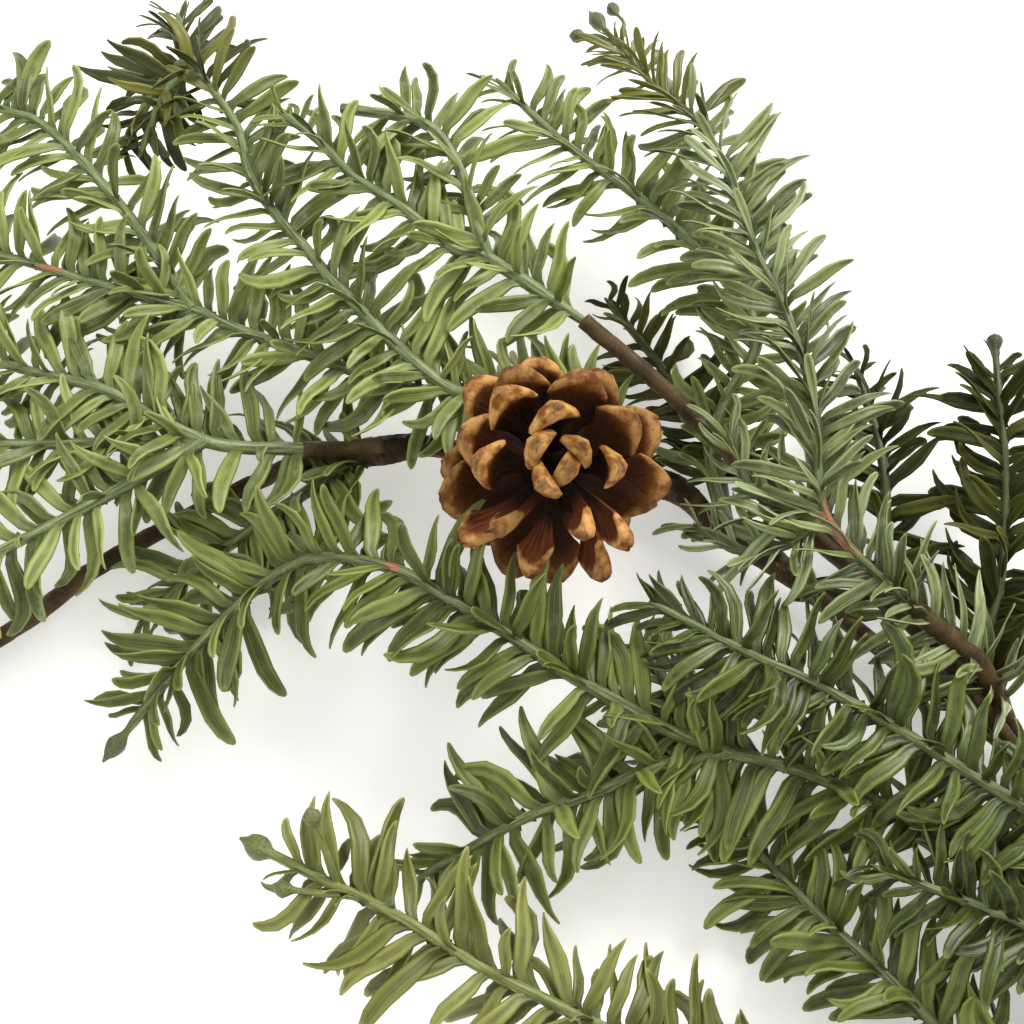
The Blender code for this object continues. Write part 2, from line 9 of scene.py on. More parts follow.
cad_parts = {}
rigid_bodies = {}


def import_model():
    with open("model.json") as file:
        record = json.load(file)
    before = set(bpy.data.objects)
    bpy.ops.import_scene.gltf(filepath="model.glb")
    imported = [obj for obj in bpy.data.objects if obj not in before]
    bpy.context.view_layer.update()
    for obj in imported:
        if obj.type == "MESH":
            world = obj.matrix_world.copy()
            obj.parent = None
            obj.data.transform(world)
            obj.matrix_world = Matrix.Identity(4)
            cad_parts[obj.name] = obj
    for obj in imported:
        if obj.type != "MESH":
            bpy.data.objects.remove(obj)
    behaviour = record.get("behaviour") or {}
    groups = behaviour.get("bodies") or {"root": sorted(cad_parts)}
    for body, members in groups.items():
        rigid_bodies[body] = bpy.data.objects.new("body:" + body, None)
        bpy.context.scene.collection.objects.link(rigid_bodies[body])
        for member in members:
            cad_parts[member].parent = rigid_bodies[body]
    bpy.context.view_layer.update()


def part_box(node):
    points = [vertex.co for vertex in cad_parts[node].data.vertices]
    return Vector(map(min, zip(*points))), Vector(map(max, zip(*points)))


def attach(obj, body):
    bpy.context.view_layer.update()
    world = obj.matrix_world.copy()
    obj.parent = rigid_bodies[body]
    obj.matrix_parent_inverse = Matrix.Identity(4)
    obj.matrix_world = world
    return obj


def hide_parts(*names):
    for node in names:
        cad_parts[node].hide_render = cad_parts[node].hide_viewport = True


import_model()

mm = 0.001
goldenTurn = radians(137.508)
oneDegree = radians(1)
upward = Vector((0, 0, 1))


# A socket of any node tree, so that sums can be written as plain expressions.
class Signal:
    def __init__(self, bench, socket):
        self.bench = bench
        self.socket = socket

    def other(self, name):
        return Signal(self.bench, pickSocket(self.socket.node.outputs, name))

    def sum(self, operation, *values):
        return self.bench.sum(operation, self, *values)

    def __add__(self, value):
        return self.sum("ADD", value)

    def __sub__(self, value):
        return self.sum("SUBTRACT", value)

    def __rsub__(self, value):
        return self.bench.sum("SUBTRACT", value, self)

    def __mul__(self, value):
        return self.sum("MULTIPLY", value)

    def __truediv__(self, value):
        return self.sum("DIVIDE", value)

    def __pow__(self, value):
        return self.sum("POWER", value)

    def __lt__(self, value):
        return self.sum("LESS_THAN", value)

    def __gt__(self, value):
        return self.sum("GREATER_THAN", value)

    __radd__ = __add__
    __rmul__ = __mul__


def pickSocket(sockets, name):
    if isinstance(name, int):
        return sockets[name]
    return next(s for s in sockets if s.name == name and s.enabled)


# Colours are given as they look, 0 to 255.
def paint(*colour):
    parts = [c / 255 for c in colour]
    return (*(c / 12.92 if c <= 0.04045 else ((c + 0.055) / 1.055) ** 2.4 for c in parts), 1.0)


def asColour(value):
    return paint(*value) if isinstance(value, tuple) and len(value) == 3 else value


# One node tree, shader or geometry, with a single way of putting a node in it.
class Bench:
    def __init__(self, tree):
        self.tree = tree

    def make(self, kind, settings=None, sockets=None, out=None):
        node = self.tree.nodes.new(kind)
        for name, value in (settings or {}).items():
            if name == "stops":
                self.setStops(node.color_ramp, value)
            else:
                setattr(node, name, value)
        for name, value in (sockets or {}).items():
            socket = pickSocket(node.inputs, name)
            for one in value if isinstance(value, list) else [value]:
                if isinstance(one, Signal):
                    self.tree.links.new(one.socket, socket)
                else:
                    socket.default_value = one
        outputs = [s for s in node.outputs if s.enabled]
        if out is not None:
            return Signal(self, pickSocket(node.outputs, out))
        return Signal(self, outputs[0]) if outputs else node

    def setStops(self, ramp, stops):
        while len(ramp.elements) < len(stops):
            ramp.elements.new(0.5)
        for element, (place, colour) in zip(ramp.elements, stops):
            element.position = place
            element.color = asColour(colour)

    def sum(self, operation, *values):
        signals = [v for v in values if isinstance(v, Signal)]
        if not any(s.socket.type == "VECTOR" for s in signals):
            return self.make("ShaderNodeMath", {"operation": operation}, dict(enumerate(values)))
        if operation == "MULTIPLY":
            ways = [v for v in values if isinstance(v, tuple) or isinstance(v, Signal) and v.socket.type == "VECTOR"]
            scales = [v for v in values if v not in ways]
            if scales:
                return self.make("ShaderNodeVectorMath", {"operation": "SCALE"}, {0: ways[0], "Scale": scales[0]})
        return self.make("ShaderNodeVectorMath", {"operation": operation}, dict(enumerate(values)))

    def mixColour(self, share, first, second):
        return self.make("ShaderNodeMix", {"data_type": "RGBA"},
                         {"Factor": share, "A": asColour(first), "B": asColour(second)})

    # One tone after another over a first one: pairs of a share and a tone.
    def layers(self, colour, *pairs):
        for share, tone in pairs:
            colour = self.mixColour(share, colour, tone)
        return colour

    def ramp(self, share, stops):
        return self.make("ShaderNodeValToRGB", {"stops": stops}, {"Fac": share})

    def noise(self, place, scale, detail=3.0, rough=0.55, twist=0.0):
        return self.make("ShaderNodeTexNoise", {}, {"Vector": place, "Scale": scale, "Detail": detail,
                                                    "Roughness": rough, "Distortion": twist}, "Fac")

    def point(self, x, y, z=0.0):
        return self.make("ShaderNodeCombineXYZ", {}, {"X": x, "Y": y, "Z": z})

    def rise(self, value, low, high, first=0.0, last=1.0):
        return self.make("ShaderNodeMapRange", {"interpolation_type": "SMOOTHSTEP"},
                         {"Value": value, "From Min": low, "From Max": high, "To Min": first, "To Max": last})

    # The rest is for modifier trees: their inputs, point readings, finishes and instances.
    def given(self, label):
        return self.make("NodeGroupInput", out=label)

    def read(self, name, kind="FLOAT"):
        return self.make("GeometryNodeInputNamedAttribute", {"data_type": kind}, {"Name": name}, "Attribute")

    def store(self, geometry, name, value, domain="POINT", kind="FLOAT"):
        return self.make("GeometryNodeStoreNamedAttribute", {"data_type": kind, "domain": domain},
                         {"Geometry": geometry, "Name": name, "Value": value})

    def dress(self, geometry, label):
        return self.make("GeometryNodeSetMaterial", {}, {"Geometry": geometry, "Material": self.given(label)})

    def aimed(self, way, facing):
        return self.make("FunctionNodeAxesToRotation", {"primary_axis": "Y", "secondary_axis": "Z"},
                         {"Primary Axis": way, "Secondary Axis": facing})

    def instances(self, points, collection, sockets):
        kinds = self.make("GeometryNodeCollectionInfo", {}, {"Collection": collection, "Separate Children": True,
                                                             "Reset Children": True})
        return self.make("GeometryNodeInstanceOnPoints", {}, {
            "Points": points, "Instance": kinds, "Pick Instance": True, **sockets})


# Layout: where the stem, the twigs and the cones lie, in millimetres.
stem = {
    "tapeRadius": 2.8, "wireRadius": 1.1, "wireProud": 7.0, "rootGap": 0.2, "rootRadius": 1.3, "rootInBand": 3.5,
    "bandHalf": 5.5, "pathStep": 2.0, "wireStep": 3.0, "wireCorners": 12, "wireLap": 9.0,
    "points": [
        (-332, -44, 5.2), (-285, -62, 5.2), (-230, -66, 5.6), (-185, -50, 7), (-146, -26, 9),
        (-126, -9, 10), (-103, 6, 11), (-75, 20, 15), (-60, 25, 19), (-33, 27, 24), (-22, 26, 24),
        (11, 23, 19), (48, 16, 14), (62, 5, 11), (86, -12, 9), (104, -29, 9), (140, -60, 10),
        (185, -96, 8), (235, -112, 6), (285, -104, 5.2), (332, -84, 5.2),
    ],
}
piecesOfSpan = 12        # short lines for each span of a smooth path


def smooth(points, step):
    pts = [Vector(p) for p in points]
    pts = [2 * pts[0] - pts[1]] + pts + [2 * pts[-1] - pts[-2]]
    fine = []
    for a, b, c, d in zip(pts, pts[1:], pts[2:], pts[3:]):
        for k in range(piecesOfSpan):
            t = k / piecesOfSpan
            fine.append(0.5 * (2 * b + (c - a) * t + (2 * a - 5 * b + 4 * c - d) * t * t
                               + (3 * b - a - 3 * c + d) * t ** 3))
    fine.append(pts[-2])
    return evenly(fine, step)


def evenly(path, step):
    lengths = [(b - a).length for a, b in zip(path, path[1:])]
    count = max(2, round(sum(lengths) / step) + 1)
    places, k, gone = [], 0, 0.0
    for n in range(count):
        want = sum(lengths) * n / (count - 1)
        while k < len(lengths) - 1 and gone + lengths[k] < want:
            gone += lengths[k]
            k += 1
        places.append(path[k].lerp(path[k + 1], min(1.0, (want - gone) / max(lengths[k], 1e-9))))
    return places


stemPath = smooth(stem["points"], stem["pathStep"])


def stemFrame(x):
    i = min(range(len(stemPath)), key=lambda k: abs(stemPath[k].x - x))
    tangent = (stemPath[max(i - 1, 0)] - stemPath[min(i + 1, len(stemPath) - 1)]).normalized()
    side = tangent.cross(upward).normalized()
    return stemPath[i], tangent, side, side.cross(tangent)


def besideStem(x, slide, angle, radius):
    middle, tangent, side, up = stemFrame(x - slide)
    turn = radians(angle)
    reach = stem["tapeRadius"] + stem["rootGap"] + radius
    return middle + reach * (cos(turn) * up + sin(turn) * side)


def rootPoints(x, angle, towardsButt=False, radius=stem["rootRadius"]):
    sign = -1 if towardsButt else 1
    half = stem["bandHalf"]
    return [besideStem(x, sign * s, angle, radius) for s in (-stem["rootInBand"], 0, half, half + 4)]


# The CAD stem wire says how far the layout was moved to stand on its middle.
def layoutShift():
    low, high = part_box("stem_core_wire")
    xs, ys, zs = ([p[k] * mm for p in stemPath] for k in range(3))
    return Vector(((low[0] + high[0] - min(xs) - max(xs)) / 2, (low[1] + high[1] - min(ys) - max(ys)) / 2,
                   low[2] - (min(zs) - stem["wireRadius"] * mm)))


shift = layoutShift()


def placed(point):
    return Vector(point) * mm + shift


# A piece stands for one CAD node and is named after it: spray_far_left_1 gives sprayFarLeft1.
def pieceName(node):
    first, *others = node.split("_")
    return first + "".join(word.capitalize() for word in others)


# What a spray has unless its row says otherwise.
plainSpray = dict(finish="plain", tips=(), butt=False, bare=26.0, budSize=1.0, stout=1.0, pitch=1.42,
                  lean=34.0, size=1.07, standing=0.14, slim=1.0, droop=0.0, flecks=(), ages=(), shy=(), stalks=())

# Every spray under its CAD node: where it is bound on (place along the stem, angle round it), its
# twigs, the finish, and small things that are only on it.
sprayRows = {
    "spray_upper_left": dict(join=(44, 75), finish="bloomed", flecks=[((-137, 73, 46), 6)], twigs=[
        [(30, 31, 20), (8, 40, 25), (-16, 42, 31), (-32, 40, 36), (-81, 56, 42), (-94, 61, 45),
         (-126, 70, 46), (-152, 80, 44), (-185, 90, 38)],
        [(-94, 61, 45), (-116, 92, 50), (-142, 121, 52), (-158, 130, 50), (-180, 143, 46)],
        [(-94, 61, 45), (-104, 60, 39), (-115, 56, 32)]]),
    "spray_top_left": dict(join=(44, 10), finish="bloomed", twigs=[
        [(30, 30, 27), (16, 35, 31), (2, 36, 35), (-17, 36, 41), (-35, 49, 47), (-50, 64, 51),
         (-60, 76, 53), (-71, 89, 55), (-79, 103, 55), (-83, 118, 55), (-91, 132, 54),
         (-100, 147, 52), (-108, 170, 47)],
        [(-100, 147, 52), (-106, 146, 50), (-114, 136, 47), (-121, 120, 43)],
        [(-96, 142, 53), (-104, 140, 52), (-110, 132, 49), (-115, 118, 45)]],
        ages=[((-112, 136, 47), 30, -1.0), ((-107, 166, 47), 26, -0.9)]),
    "spray_left": dict(join=(-40, -20), finish="bloomed", twigs=[
        [(-64, 22, 31), (-88, 20, 40), (-116, 33, 46), (-147, 46, 37), (-185, 62, 32)],
        [(-88, 20, 40), (-144, 18, 42), (-190, 22, 38)],
        [(-88, 20, 40), (-113, 2, 42), (-140, -13, 40), (-180, -32, 34)]],
        shy=[((-78, 20, 37), 12, -1), ((-97, 14, 41), 5, -1)]),
    "spray_under_left": dict(join=(-40, 262), bare=7.0, pitch=1.0, size=1.12, twigs=[
        [(-63, 11, 21), (-73, 4, 20), (-91, -9, 15), (-108, -24, 11)]],
        shy=[((-64, 10, 20), 10, 1)]),
    "spray_back": dict(join=None, finish="bloomed", tips=("tuft", "cut"), twigs=[
        [(-7, 74, 52), (-17, 76, 54), (-34, 89, 58), (-47, 97, 61), (-57, 107, 64), (-68, 116, 65)],
        [(-7, 74, 52), (-10, 83, 55), (-17, 105, 58), (-27, 117, 60), (-48, 122, 60)]]),
    "spray_front": dict(
        join=(172, 218), tips=("bud", "tuft", "tuft"), budSize=0.8, size=1.16, pitch=1.24, droop=12,
        flecks=[((-32, -22, 51), 4)], twigs=[
            [(150, -88, 8), (128, -92, 14), (108, -84, 20), (90, -77, 25), (74, -72, 29), (59, -69, 32),
             (44, -65, 36), (29, -58, 40), (15, -51, 44), (0, -42, 48), (-15, -33, 50), (-31, -24, 51),
             (-53, -19, 47), (-70, -25, 39), (-90, -43, 31), (-109, -66, 24)],
            [(59, -69, 32), (36, -74, 34), (22, -80, 33), (4, -86, 31), (-14, -95, 27), (-24, -100, 23)],
            [(59, -69, 32), (45, -52, 27), (37, -34, 21)]]),
    "spray_low_left": dict(join=(238, 268), finish="young", tips=("bud",), size=1.13, droop=12, twigs=[
        [(214, -138, 5), (180, -172, 10), (130, -178, 20), (90, -167, 30), (50, -152, 36),
         (17, -137, 42), (-7, -126, 46), (-26, -115, 48), (-47, -105, 48), (-65, -96, 45)]],
        stalks=[[(-43, -106, 48), (-45, -101, 54), (-47.5, -95, 59)],
                [(-35, -109.5, 48), (-44, -109, 49), (-53, -108, 49)]]),
    "spray_right_front": dict(join=(210, 0), finish="deep", size=1.12, droop=8, pitch=1.02, twigs=[
        [(186, -99, 21), (160, -98, 29), (128, -81, 36), (102, -65, 40), (80, -54, 45),
         (65, -48, 48), (51, -41, 50), (38, -34, 51)]]),
    "spray_lower_middle": dict(join=(210, 268), size=1.12, pitch=1.14, twigs=[
        [(188, -122, 6), (160, -148, 12), (125, -150, 18), (97, -124, 18), (81, -108, 16),
         (67, -92, 13), (54, -80, 11)]]),
    "spray_right_back": dict(
        join=(148, 20), finish="bluish", tips=("bud", "tuft"), budSize=0.8, slim=0.76, lean=46, pitch=1.10,
        standing=0.30, stout=0.70, flecks=[((89, -11, 49), 12)], ages=[((36, 155, 49), 44, 1.0)], twigs=[
            [(128, -45, 32), (107, -30, 43), (86, -8, 50), (84, 22, 56), (78, 52, 58), (72, 66, 60),
             (68, 80, 61), (64, 97, 60), (61, 110, 58), (54, 125, 55), (45, 136, 53), (36, 153, 49),
             (27, 171, 45)],
            [(86, -8, 50), (68, 0, 46), (60, 18, 50)],
            [(86, -8, 50), (75, -15, 46), (62, -15, 42), (52, -7, 40)]],
        stalks=[[(32, 159, 47), (28, 162, 47), (24, 163, 46)],
                [(35, 158, 48), (36, 166, 48), (34, 172, 46)]]),
    "spray_back_under": dict(join=(72, 30), finish="bloomed", twigs=[
        [(59, 26, 20), (65, 42, 25), (74, 58, 31), (68, 74, 35), (56, 88, 37), (47, 98, 38),
         (37, 108, 38), (25, 117, 40), (11, 131, 40), (-4, 151, 38)]]),
    "spray_right_edge": dict(
        join=(148, 90), finish="shade", tips=("knob",), pitch=1.1, lean=42, stout=0.78, twigs=[
            [(136, -34, 16), (140, -18, 22), (142, 0, 28), (143, 18, 33), (143, 39, 36), (144, 54, 36)]]),
    "spray_right_shade": dict(join=(120, 80), finish="shade", twigs=[
        [(108, -12, 14), (110, 4, 20), (110, 26, 23), (106, 56, 20)]]),
    "spray_back_shade": dict(join=(72, 95), finish="shade", size=1.02, ages=[((45, 70, 12), 50, 0.35)], twigs=[
        [(62, 30, 11), (48, 58, 12), (31, 84, 12)]]),
    "spray_lower_right": dict(join=(238, 30), finish="deep", pitch=1.04, twigs=[
        [(214, -112, 18), (180, -122, 26), (150, -121, 30), (120, -109, 31), (95, -99, 30)]]),
    "spray_corner": dict(join=(262, 268), finish="shade", twigs=[
        [(247, -134, 5), (236, -154, 7), (205, -196, 12), (160, -206, 14), (118, -198, 12)]]),
}

longStem = {"join": (172, 305), "radius": 2.6, "step": 3.0,
            "points": [(147, -76, 17), (134, -60, 23), (112, -33, 30), (79, 0, 34), (48, 33, 40), (21, 57, 45)]}

# Place on the stem, angle round it, heading on the table, length, height of the tip.
farSprays = {
    "spray_far_left_1": (-178, 80, 148, 125, 34),
    "spray_far_left_2": (-178, 270, 222, 118, 22),
    "spray_far_left_3": (-252, 80, 112, 112, 24),
    "spray_far_left_4": (-252, 270, 212, 120, 20),
    "spray_far_left_5": (-252, 0, 180, 126, 46),
    "spray_far_left_6": (-312, 85, 138, 92, 36),
    "spray_far_left_7": (-312, 275, 208, 112, 18),
    "spray_far_left_tip": (-312, 0, 174, 128, 24),
    "spray_far_right_1": (294, 85, 112, 118, 26),
    "spray_far_right_2": (294, 275, 242, 112, 22),
    "spray_far_right_3": (318, 60, 42, 118, 26),
    "spray_far_right_4": (318, 300, -42, 112, 22),
    "spray_far_right_5": (262, 80, 138, 118, 38),
    "spray_far_right_tip": (318, 0, 2, 112, 34),
}
farSpray = {"pitch": 1.62, "lowest": 5.0, "arch": 0.62, "bow": 8}

cones = {
    "pine_cone_middle": dict(tie="cone_tie_wire_1", at=11, sag=14.0, middle=(-1.5, -18.5, 55),
                             tip=(0.15, -0.44, 0.885)),
    "pine_cone_left": dict(tie="cone_tie_wire_2", at=-218, sag=0.0, middle=(0, -4, 42), tip=(-0.30, -0.25, 0.90)),
    "pine_cone_right": dict(tie="cone_tie_wire_3", at=270, sag=0.0, middle=(2, -8, 42), tip=(0.20, -0.42, 0.88)),
}


def farRow(x, angle, heading, length, lift):
    butt = abs(heading) < 90
    way = Vector((cos(radians(heading)), sin(radians(heading)), 0))
    side = Vector((-way.y, way.x, 0))
    start = rootPoints(x, angle, butt)[-1]
    low = max(start.z, farSpray["lowest"])

    def point(forward, across):
        share = forward / length
        height = low + (lift - low) * sin(share * pi * farSpray["arch"])
        bow = farSpray["bow"] * sin(share * pi)
        return start + way * forward + side * (across + bow) + Vector((0, 0, height - start.z))

    main = [point(length * f, 0) for f in (0.2, 0.42, 0.7, 1.0)]
    left = [main[1], point(length * 0.66, 24), point(length * 0.84, 34)]
    right = [main[0], point(length * 0.45, -22), point(length * 0.66, -36)]
    return dict(join=(x, angle), twigs=[main, left, right], butt=butt, pitch=farSpray["pitch"])


sprayRows.update({node: farRow(*row) for node, row in farSprays.items()})
sprays = {node: {**plainSpray, **row} for node, row in sprayRows.items()}
print("layout ready:", len(sprays), "sprays,", len(cones), "cones")


def newMaterial(name):
    material = bpy.data.materials.new(name)
    material.use_nodes = True
    material.node_tree.nodes.clear()
    b = Bench(material.node_tree)
    return material, b, b.make("ShaderNodeTexCoord", {}, {}, "Object")


# Colour, roughness and bump (strength, distance, height) vary over a surface; the rest is plain.
def closeMaterial(material, b, colour, rough, bump, plain):
    bump = b.make("ShaderNodeBump", {}, dict(zip(("Strength", "Distance", "Height"), bump)))
    shader = b.make("ShaderNodeBsdfPrincipled", {}, {
        "Base Color": colour, "Roughness": rough, "Normal": bump, **plain})
    b.make("ShaderNodeOutputMaterial", {}, {"Surface": shader})
    return material


def reading(b, name):
    return b.make("ShaderNodeAttribute", {"attribute_name": name}, {}, "Fac")


def splitUv(b, name):
    parts = b.make("ShaderNodeSeparateXYZ", {}, {"Vector": b.make("ShaderNodeUVMap", {"uv_map": name})})
    return parts, parts.other("Y")


# Moulded needles: two pale ribs, a darker groove, a light edge and tip, and a little bloom; the groove's dark is
# partly painted shade, and the needles carry painted shade below and a painted sheen.
greens = {
    "needleGreen": dict(dark=(43, 52, 13), body=(104, 116, 46), pale=(160, 169, 88), tip=(152, 154, 78),
                        bloom=0.05, sheen=0.25, roughness=0.40),
    # A lighter copy with more bloom: the bloom is the needles' own, the lighter green is painted light for sprays
    # that lie in shade or catch more light.
    "needleGreenBloomed": dict(dark=(59, 71, 26), body=(128, 143, 65), pale=(190, 198, 120), tip=(182, 184, 112),
                               bloom=0.14, sheen=0.2, roughness=0.42),
    # A lighter copy with a strong bluish sheen: painted light and a painted highlight.
    "needleGreenBluish": dict(dark=(40, 49, 20), body=(122, 135, 66), pale=(196, 207, 148), tip=(168, 174, 110),
                              bloom=0.10, sheen=0.8, roughness=0.30),
    # A darker copy for the dense front right sprays: painted shade.
    "needleDeepGreen": dict(dark=(21, 28, 6), body=(70, 84, 25), pale=(132, 144, 68), tip=(150, 156, 76),
                            bloom=0.06, sheen=0.45, roughness=0.28),
    "needleYellowGreen": dict(dark=(68, 74, 28), body=(118, 123, 52), pale=(166, 168, 96), tip=(194, 190, 116),
                              bloom=0.04, sheen=0.0, roughness=0.38),
    # A darker, more olive copy for sprays that lie in shade; its darkness is painted shade.
    "needleShadeGreen": dict(dark=(24, 29, 7), body=(54, 61, 17), pale=(104, 106, 40), tip=(140, 134, 58),
                             bloom=0.02, sheen=0.0, roughness=0.48, coat=0.0, gloss=0.16),
}
allNeedles = dict(coat=0.08, gloss=0.32, bloomed=(196, 206, 170), paintedSheen=(178, 194, 172), old=(104, 104, 34),
                  oldPale=(186, 178, 90), dried=(50, 54, 14), driedPale=(148, 142, 60))


def needleFinish(name, row):
    tones = {**allNeedles, **row}
    dark, pale = tones["dark"], tones["pale"]
    material, b, place = newMaterial(name)
    across, along = splitUv(b, "needleUv")
    tone = reading(b, "tone")
    age = reading(b, "age")
    middle = (across - 0.5).sum("ABSOLUTE") * 2
    ribs = b.rise(middle, 0.0, 0.07, 1, 0)
    rim = b.rise(middle, 0.84, 0.99)
    grain = b.noise(place, 900)
    streaks = b.noise(b.point(across * 9 + tone * 40, along * 1.6, tone * 20), 1.0)
    patches = b.noise(place, 26)
    unlike = patches - 0.5
    base = b.mixColour(b.rise(tone + unlike * 0.9, -0.35, 0.80), dark, tones["body"])
    base = b.layers(base, (b.rise(patches + tone * 0.4, 0.58, 1.0) * 0.5, pale))
    stain = b.rise(b.noise(place, 130), 0.36, 0.62)
    # The groove is darker: partly the needle's own stained midline, partly painted shade in the crease.
    groove = b.rise(middle, 0.10, 0.50, 0.62, 0) * (0.35 + stain * 0.65)
    onTop = b.layers(base, (b.rise(streaks, 0.42, 0.75) * 0.3, pale), (groove * b.rise(along, 0.08, 0.3), dark),
                     (ribs * streaks * 0.55 * b.rise(along, 0.05, 0.25), pale),
                     (b.rise(middle, 0.50, 0.86) * (0.12 + streaks * 0.4), pale))
    bloom = b.rise(b.noise(place, 180, 4) + grain * 0.3, 0.62, 0.95) * tones["bloom"] * 2
    # Some needles have thin streaks of a pale bluish sheen, a painted highlight.
    share = 1 - tones["sheen"] * 0.55
    paintedSheen = b.rise(tone + unlike * 0.7, share, share + 0.25) * b.rise(streaks, 0.48, 0.60) * tones["sheen"]
    # Age above nought turns a needle yellow, and below it brown.
    old = b.mixColour(rim * 0.7 + b.rise(streaks, 0.5, 0.75) * 0.5, tones["old"], tones["oldPale"])
    dried = b.mixColour(rim * 0.6 + b.rise(tone, 0.75, 1.0) * 0.7, tones["dried"], tones["driedPale"])
    # The underside of each needle is painted darker, and so is its foot by the twig: painted shade.
    colour = b.layers(
        b.mixColour(0.35 + rim * 0.4, dark, base), (b.rise(reading(b, "upperFace"), 0.35, 0.65), onTop),
        (rim * 0.25, pale), (b.rise(along, 0.90, 1.0) * 0.5, tones["tip"]),
        (b.rise(along, 0.0, 0.34, 0.75, 0), dark), (bloom, tones["bloomed"]), (paintedSheen * 0.62, tones["paintedSheen"]),
        (b.rise(age + unlike * 0.6, 0.1, 0.9, 0, 0.85), old),
        (b.rise(age * -1 + unlike * 0.4, 0.1, 0.8, 0, 0.85), dried))
    return closeMaterial(material, b, colour, tones["roughness"] + (grain - 0.5) * 0.16 + bloom * 0.25,
                         (0.55, 0.00025, ribs * 0.35 + streaks * 0.4 + grain * 0.12),
                         {"Coat Weight": tones["coat"], "Coat Roughness": 0.3, "Specular IOR Level": tones["gloss"]})


twigTones = {
    "twigGreen": dict(dark=(70, 82, 42), body=(118, 131, 80), pale=(172, 181, 132)),
    "twigDeepGreen": dict(dark=(56, 65, 30), body=(98, 109, 58), pale=(152, 162, 112)),
    "twigYellowGreen": dict(dark=(78, 86, 34), body=(118, 126, 62), pale=(170, 174, 110)),
    # A darker twig for sprays that lie in shade: painted shade.
    "twigShadeGreen": dict(dark=(42, 46, 18), body=(72, 78, 34), pale=(104, 112, 62)),
}


def twigFinish(name, tones):
    material, b, place = newMaterial(name)
    around, along = splitUv(b, "twigUv")
    wave = b.noise(b.point(around * 7, along * 0.09), 1.0)
    grain = b.noise(place, 1100)
    knob = reading(b, "bud")
    warts = b.make("ShaderNodeTexVoronoi", {}, {"Vector": place, "Scale": 1500.0}, "Distance")
    streak = reading(b, "fleck") * b.rise(wave, 0.42, 0.56)
    red = b.mixColour(grain, (176, 74, 48), (214, 128, 98))
    colour = b.layers(tones["dark"], (b.rise(wave, 0.30, 0.52), tones["body"]),
                      (b.rise(wave + grain * 0.3, 0.62, 0.88) * 0.75, tones["pale"]),
                      (knob * 0.75, tones["dark"]), (knob * b.rise(warts, 0.1, 0.6) * 0.22, tones["pale"]),
                      (b.rise(streak, 0.35, 0.75) * 0.85, red))
    return closeMaterial(material, b, colour, 0.40 + grain * 0.2,
                         (0.7, 0.0004, wave * 0.8 + grain * 0.15 + knob * (0.6 - warts)),
                         {"Coat Weight": 0.1, "Coat Roughness": 0.3})


# The inner face of a scale runs from black at its foot to tan, the outer face from dark red. The near-black at the
# feet is partly the wood's own dark brown and partly painted shade deep between the scales.
innerStops = [(0.32, (4, 2, 1)), (0.50, (22, 9, 4)), (0.65, (50, 23, 8)), (0.78, (94, 52, 19)), (0.88, (144, 90, 38))]
outerStops = [(0.15, (22, 8, 4)), (0.45, (80, 34, 20)), (0.70, (116, 60, 34)), (0.88, (168, 112, 58))]


def scaleFinish():
    material, b, place = newMaterial("coneScaleWood")
    across, along = splitUv(b, "scaleUv")
    tone = reading(b, "tone")
    umbo = reading(b, "umbo")
    veins = b.noise(b.point(across * 26 + tone * 30, along * 2.2, tone * 9), 1.0, 4, 0.6, 0.4)
    cloud = b.noise(place, 260, 4)
    grain = b.noise(place, 1700)
    specks = b.rise(b.noise(place, 800, 2), 0.62, 0.72)
    unlike = cloud - 0.5
    wing = (across - 0.5).sum("ABSOLUTE") - b.rise(along, 0.45, 0.85, 0.0, 0.22)
    seam = b.rise(wing.sum("ABSOLUTE"), 0.006, 0.030, 1, 0)
    seam = seam * b.rise(along, 0.30, 0.5) * b.rise(along, 0.70, 0.80, 1, 0)
    inner = b.layers(b.ramp(along + unlike * 0.24 + (tone - 0.5) * 0.12, innerStops), (seam * 0.75, (50, 24, 12)),
                     (b.rise(veins, 0.46, 0.70) * 0.45, (92, 50, 22)))
    outer = b.layers(b.ramp(along + unlike * 0.25, outerStops), (b.rise(veins, 0.45, 0.7) * 0.5, (60, 26, 14)))
    # Edgeways scales get a lighter red-brown towards the foot: partly their own outer face, partly painted light on
    # scales that lie in shade.
    foot = b.mixColour(b.rise(veins, 0.35, 0.65), (84, 36, 20), (150, 84, 48))
    # The thick scale ends are pale tan: partly the wood's own weathered colour, partly a painted highlight on the
    # rims.
    rim = b.mixColour(b.rise(cloud, 0.34, 0.64), (134, 80, 33), (230, 175, 105))
    knob = b.mixColour(b.rise(cloud + grain * 0.4, 0.50, 0.85), (78, 52, 32), (160, 122, 84))
    colour = b.layers(
        inner, (b.rise(reading(b, "outerFace"), 0.75, 0.95), outer),
        (reading(b, "red") * b.rise(along, 0.25, 0.6) * 0.75, foot),
        (b.rise(along + unlike * 0.07, 0.80, 0.89) * 0.9, rim), (b.rise(umbo + unlike * 0.7, 0.50, 0.85) * 0.8, knob),
        (specks * b.rise(along, 0.6, 0.9) * 0.55, (84, 50, 28)),
        (b.rise(tone, 0.0, 1.0, 0.0, 0.42), b.mixColour(cloud, (96, 58, 30), (60, 34, 18))))
    height = veins * 0.6 + cloud * 1.0 + grain * 0.3 - seam * 0.6 + umbo * cloud * 2.0
    return closeMaterial(material, b, colour, 0.62 + (grain - 0.5) * 0.25, (0.8, 0.0005, height),
                         {"Specular IOR Level": 0.14})


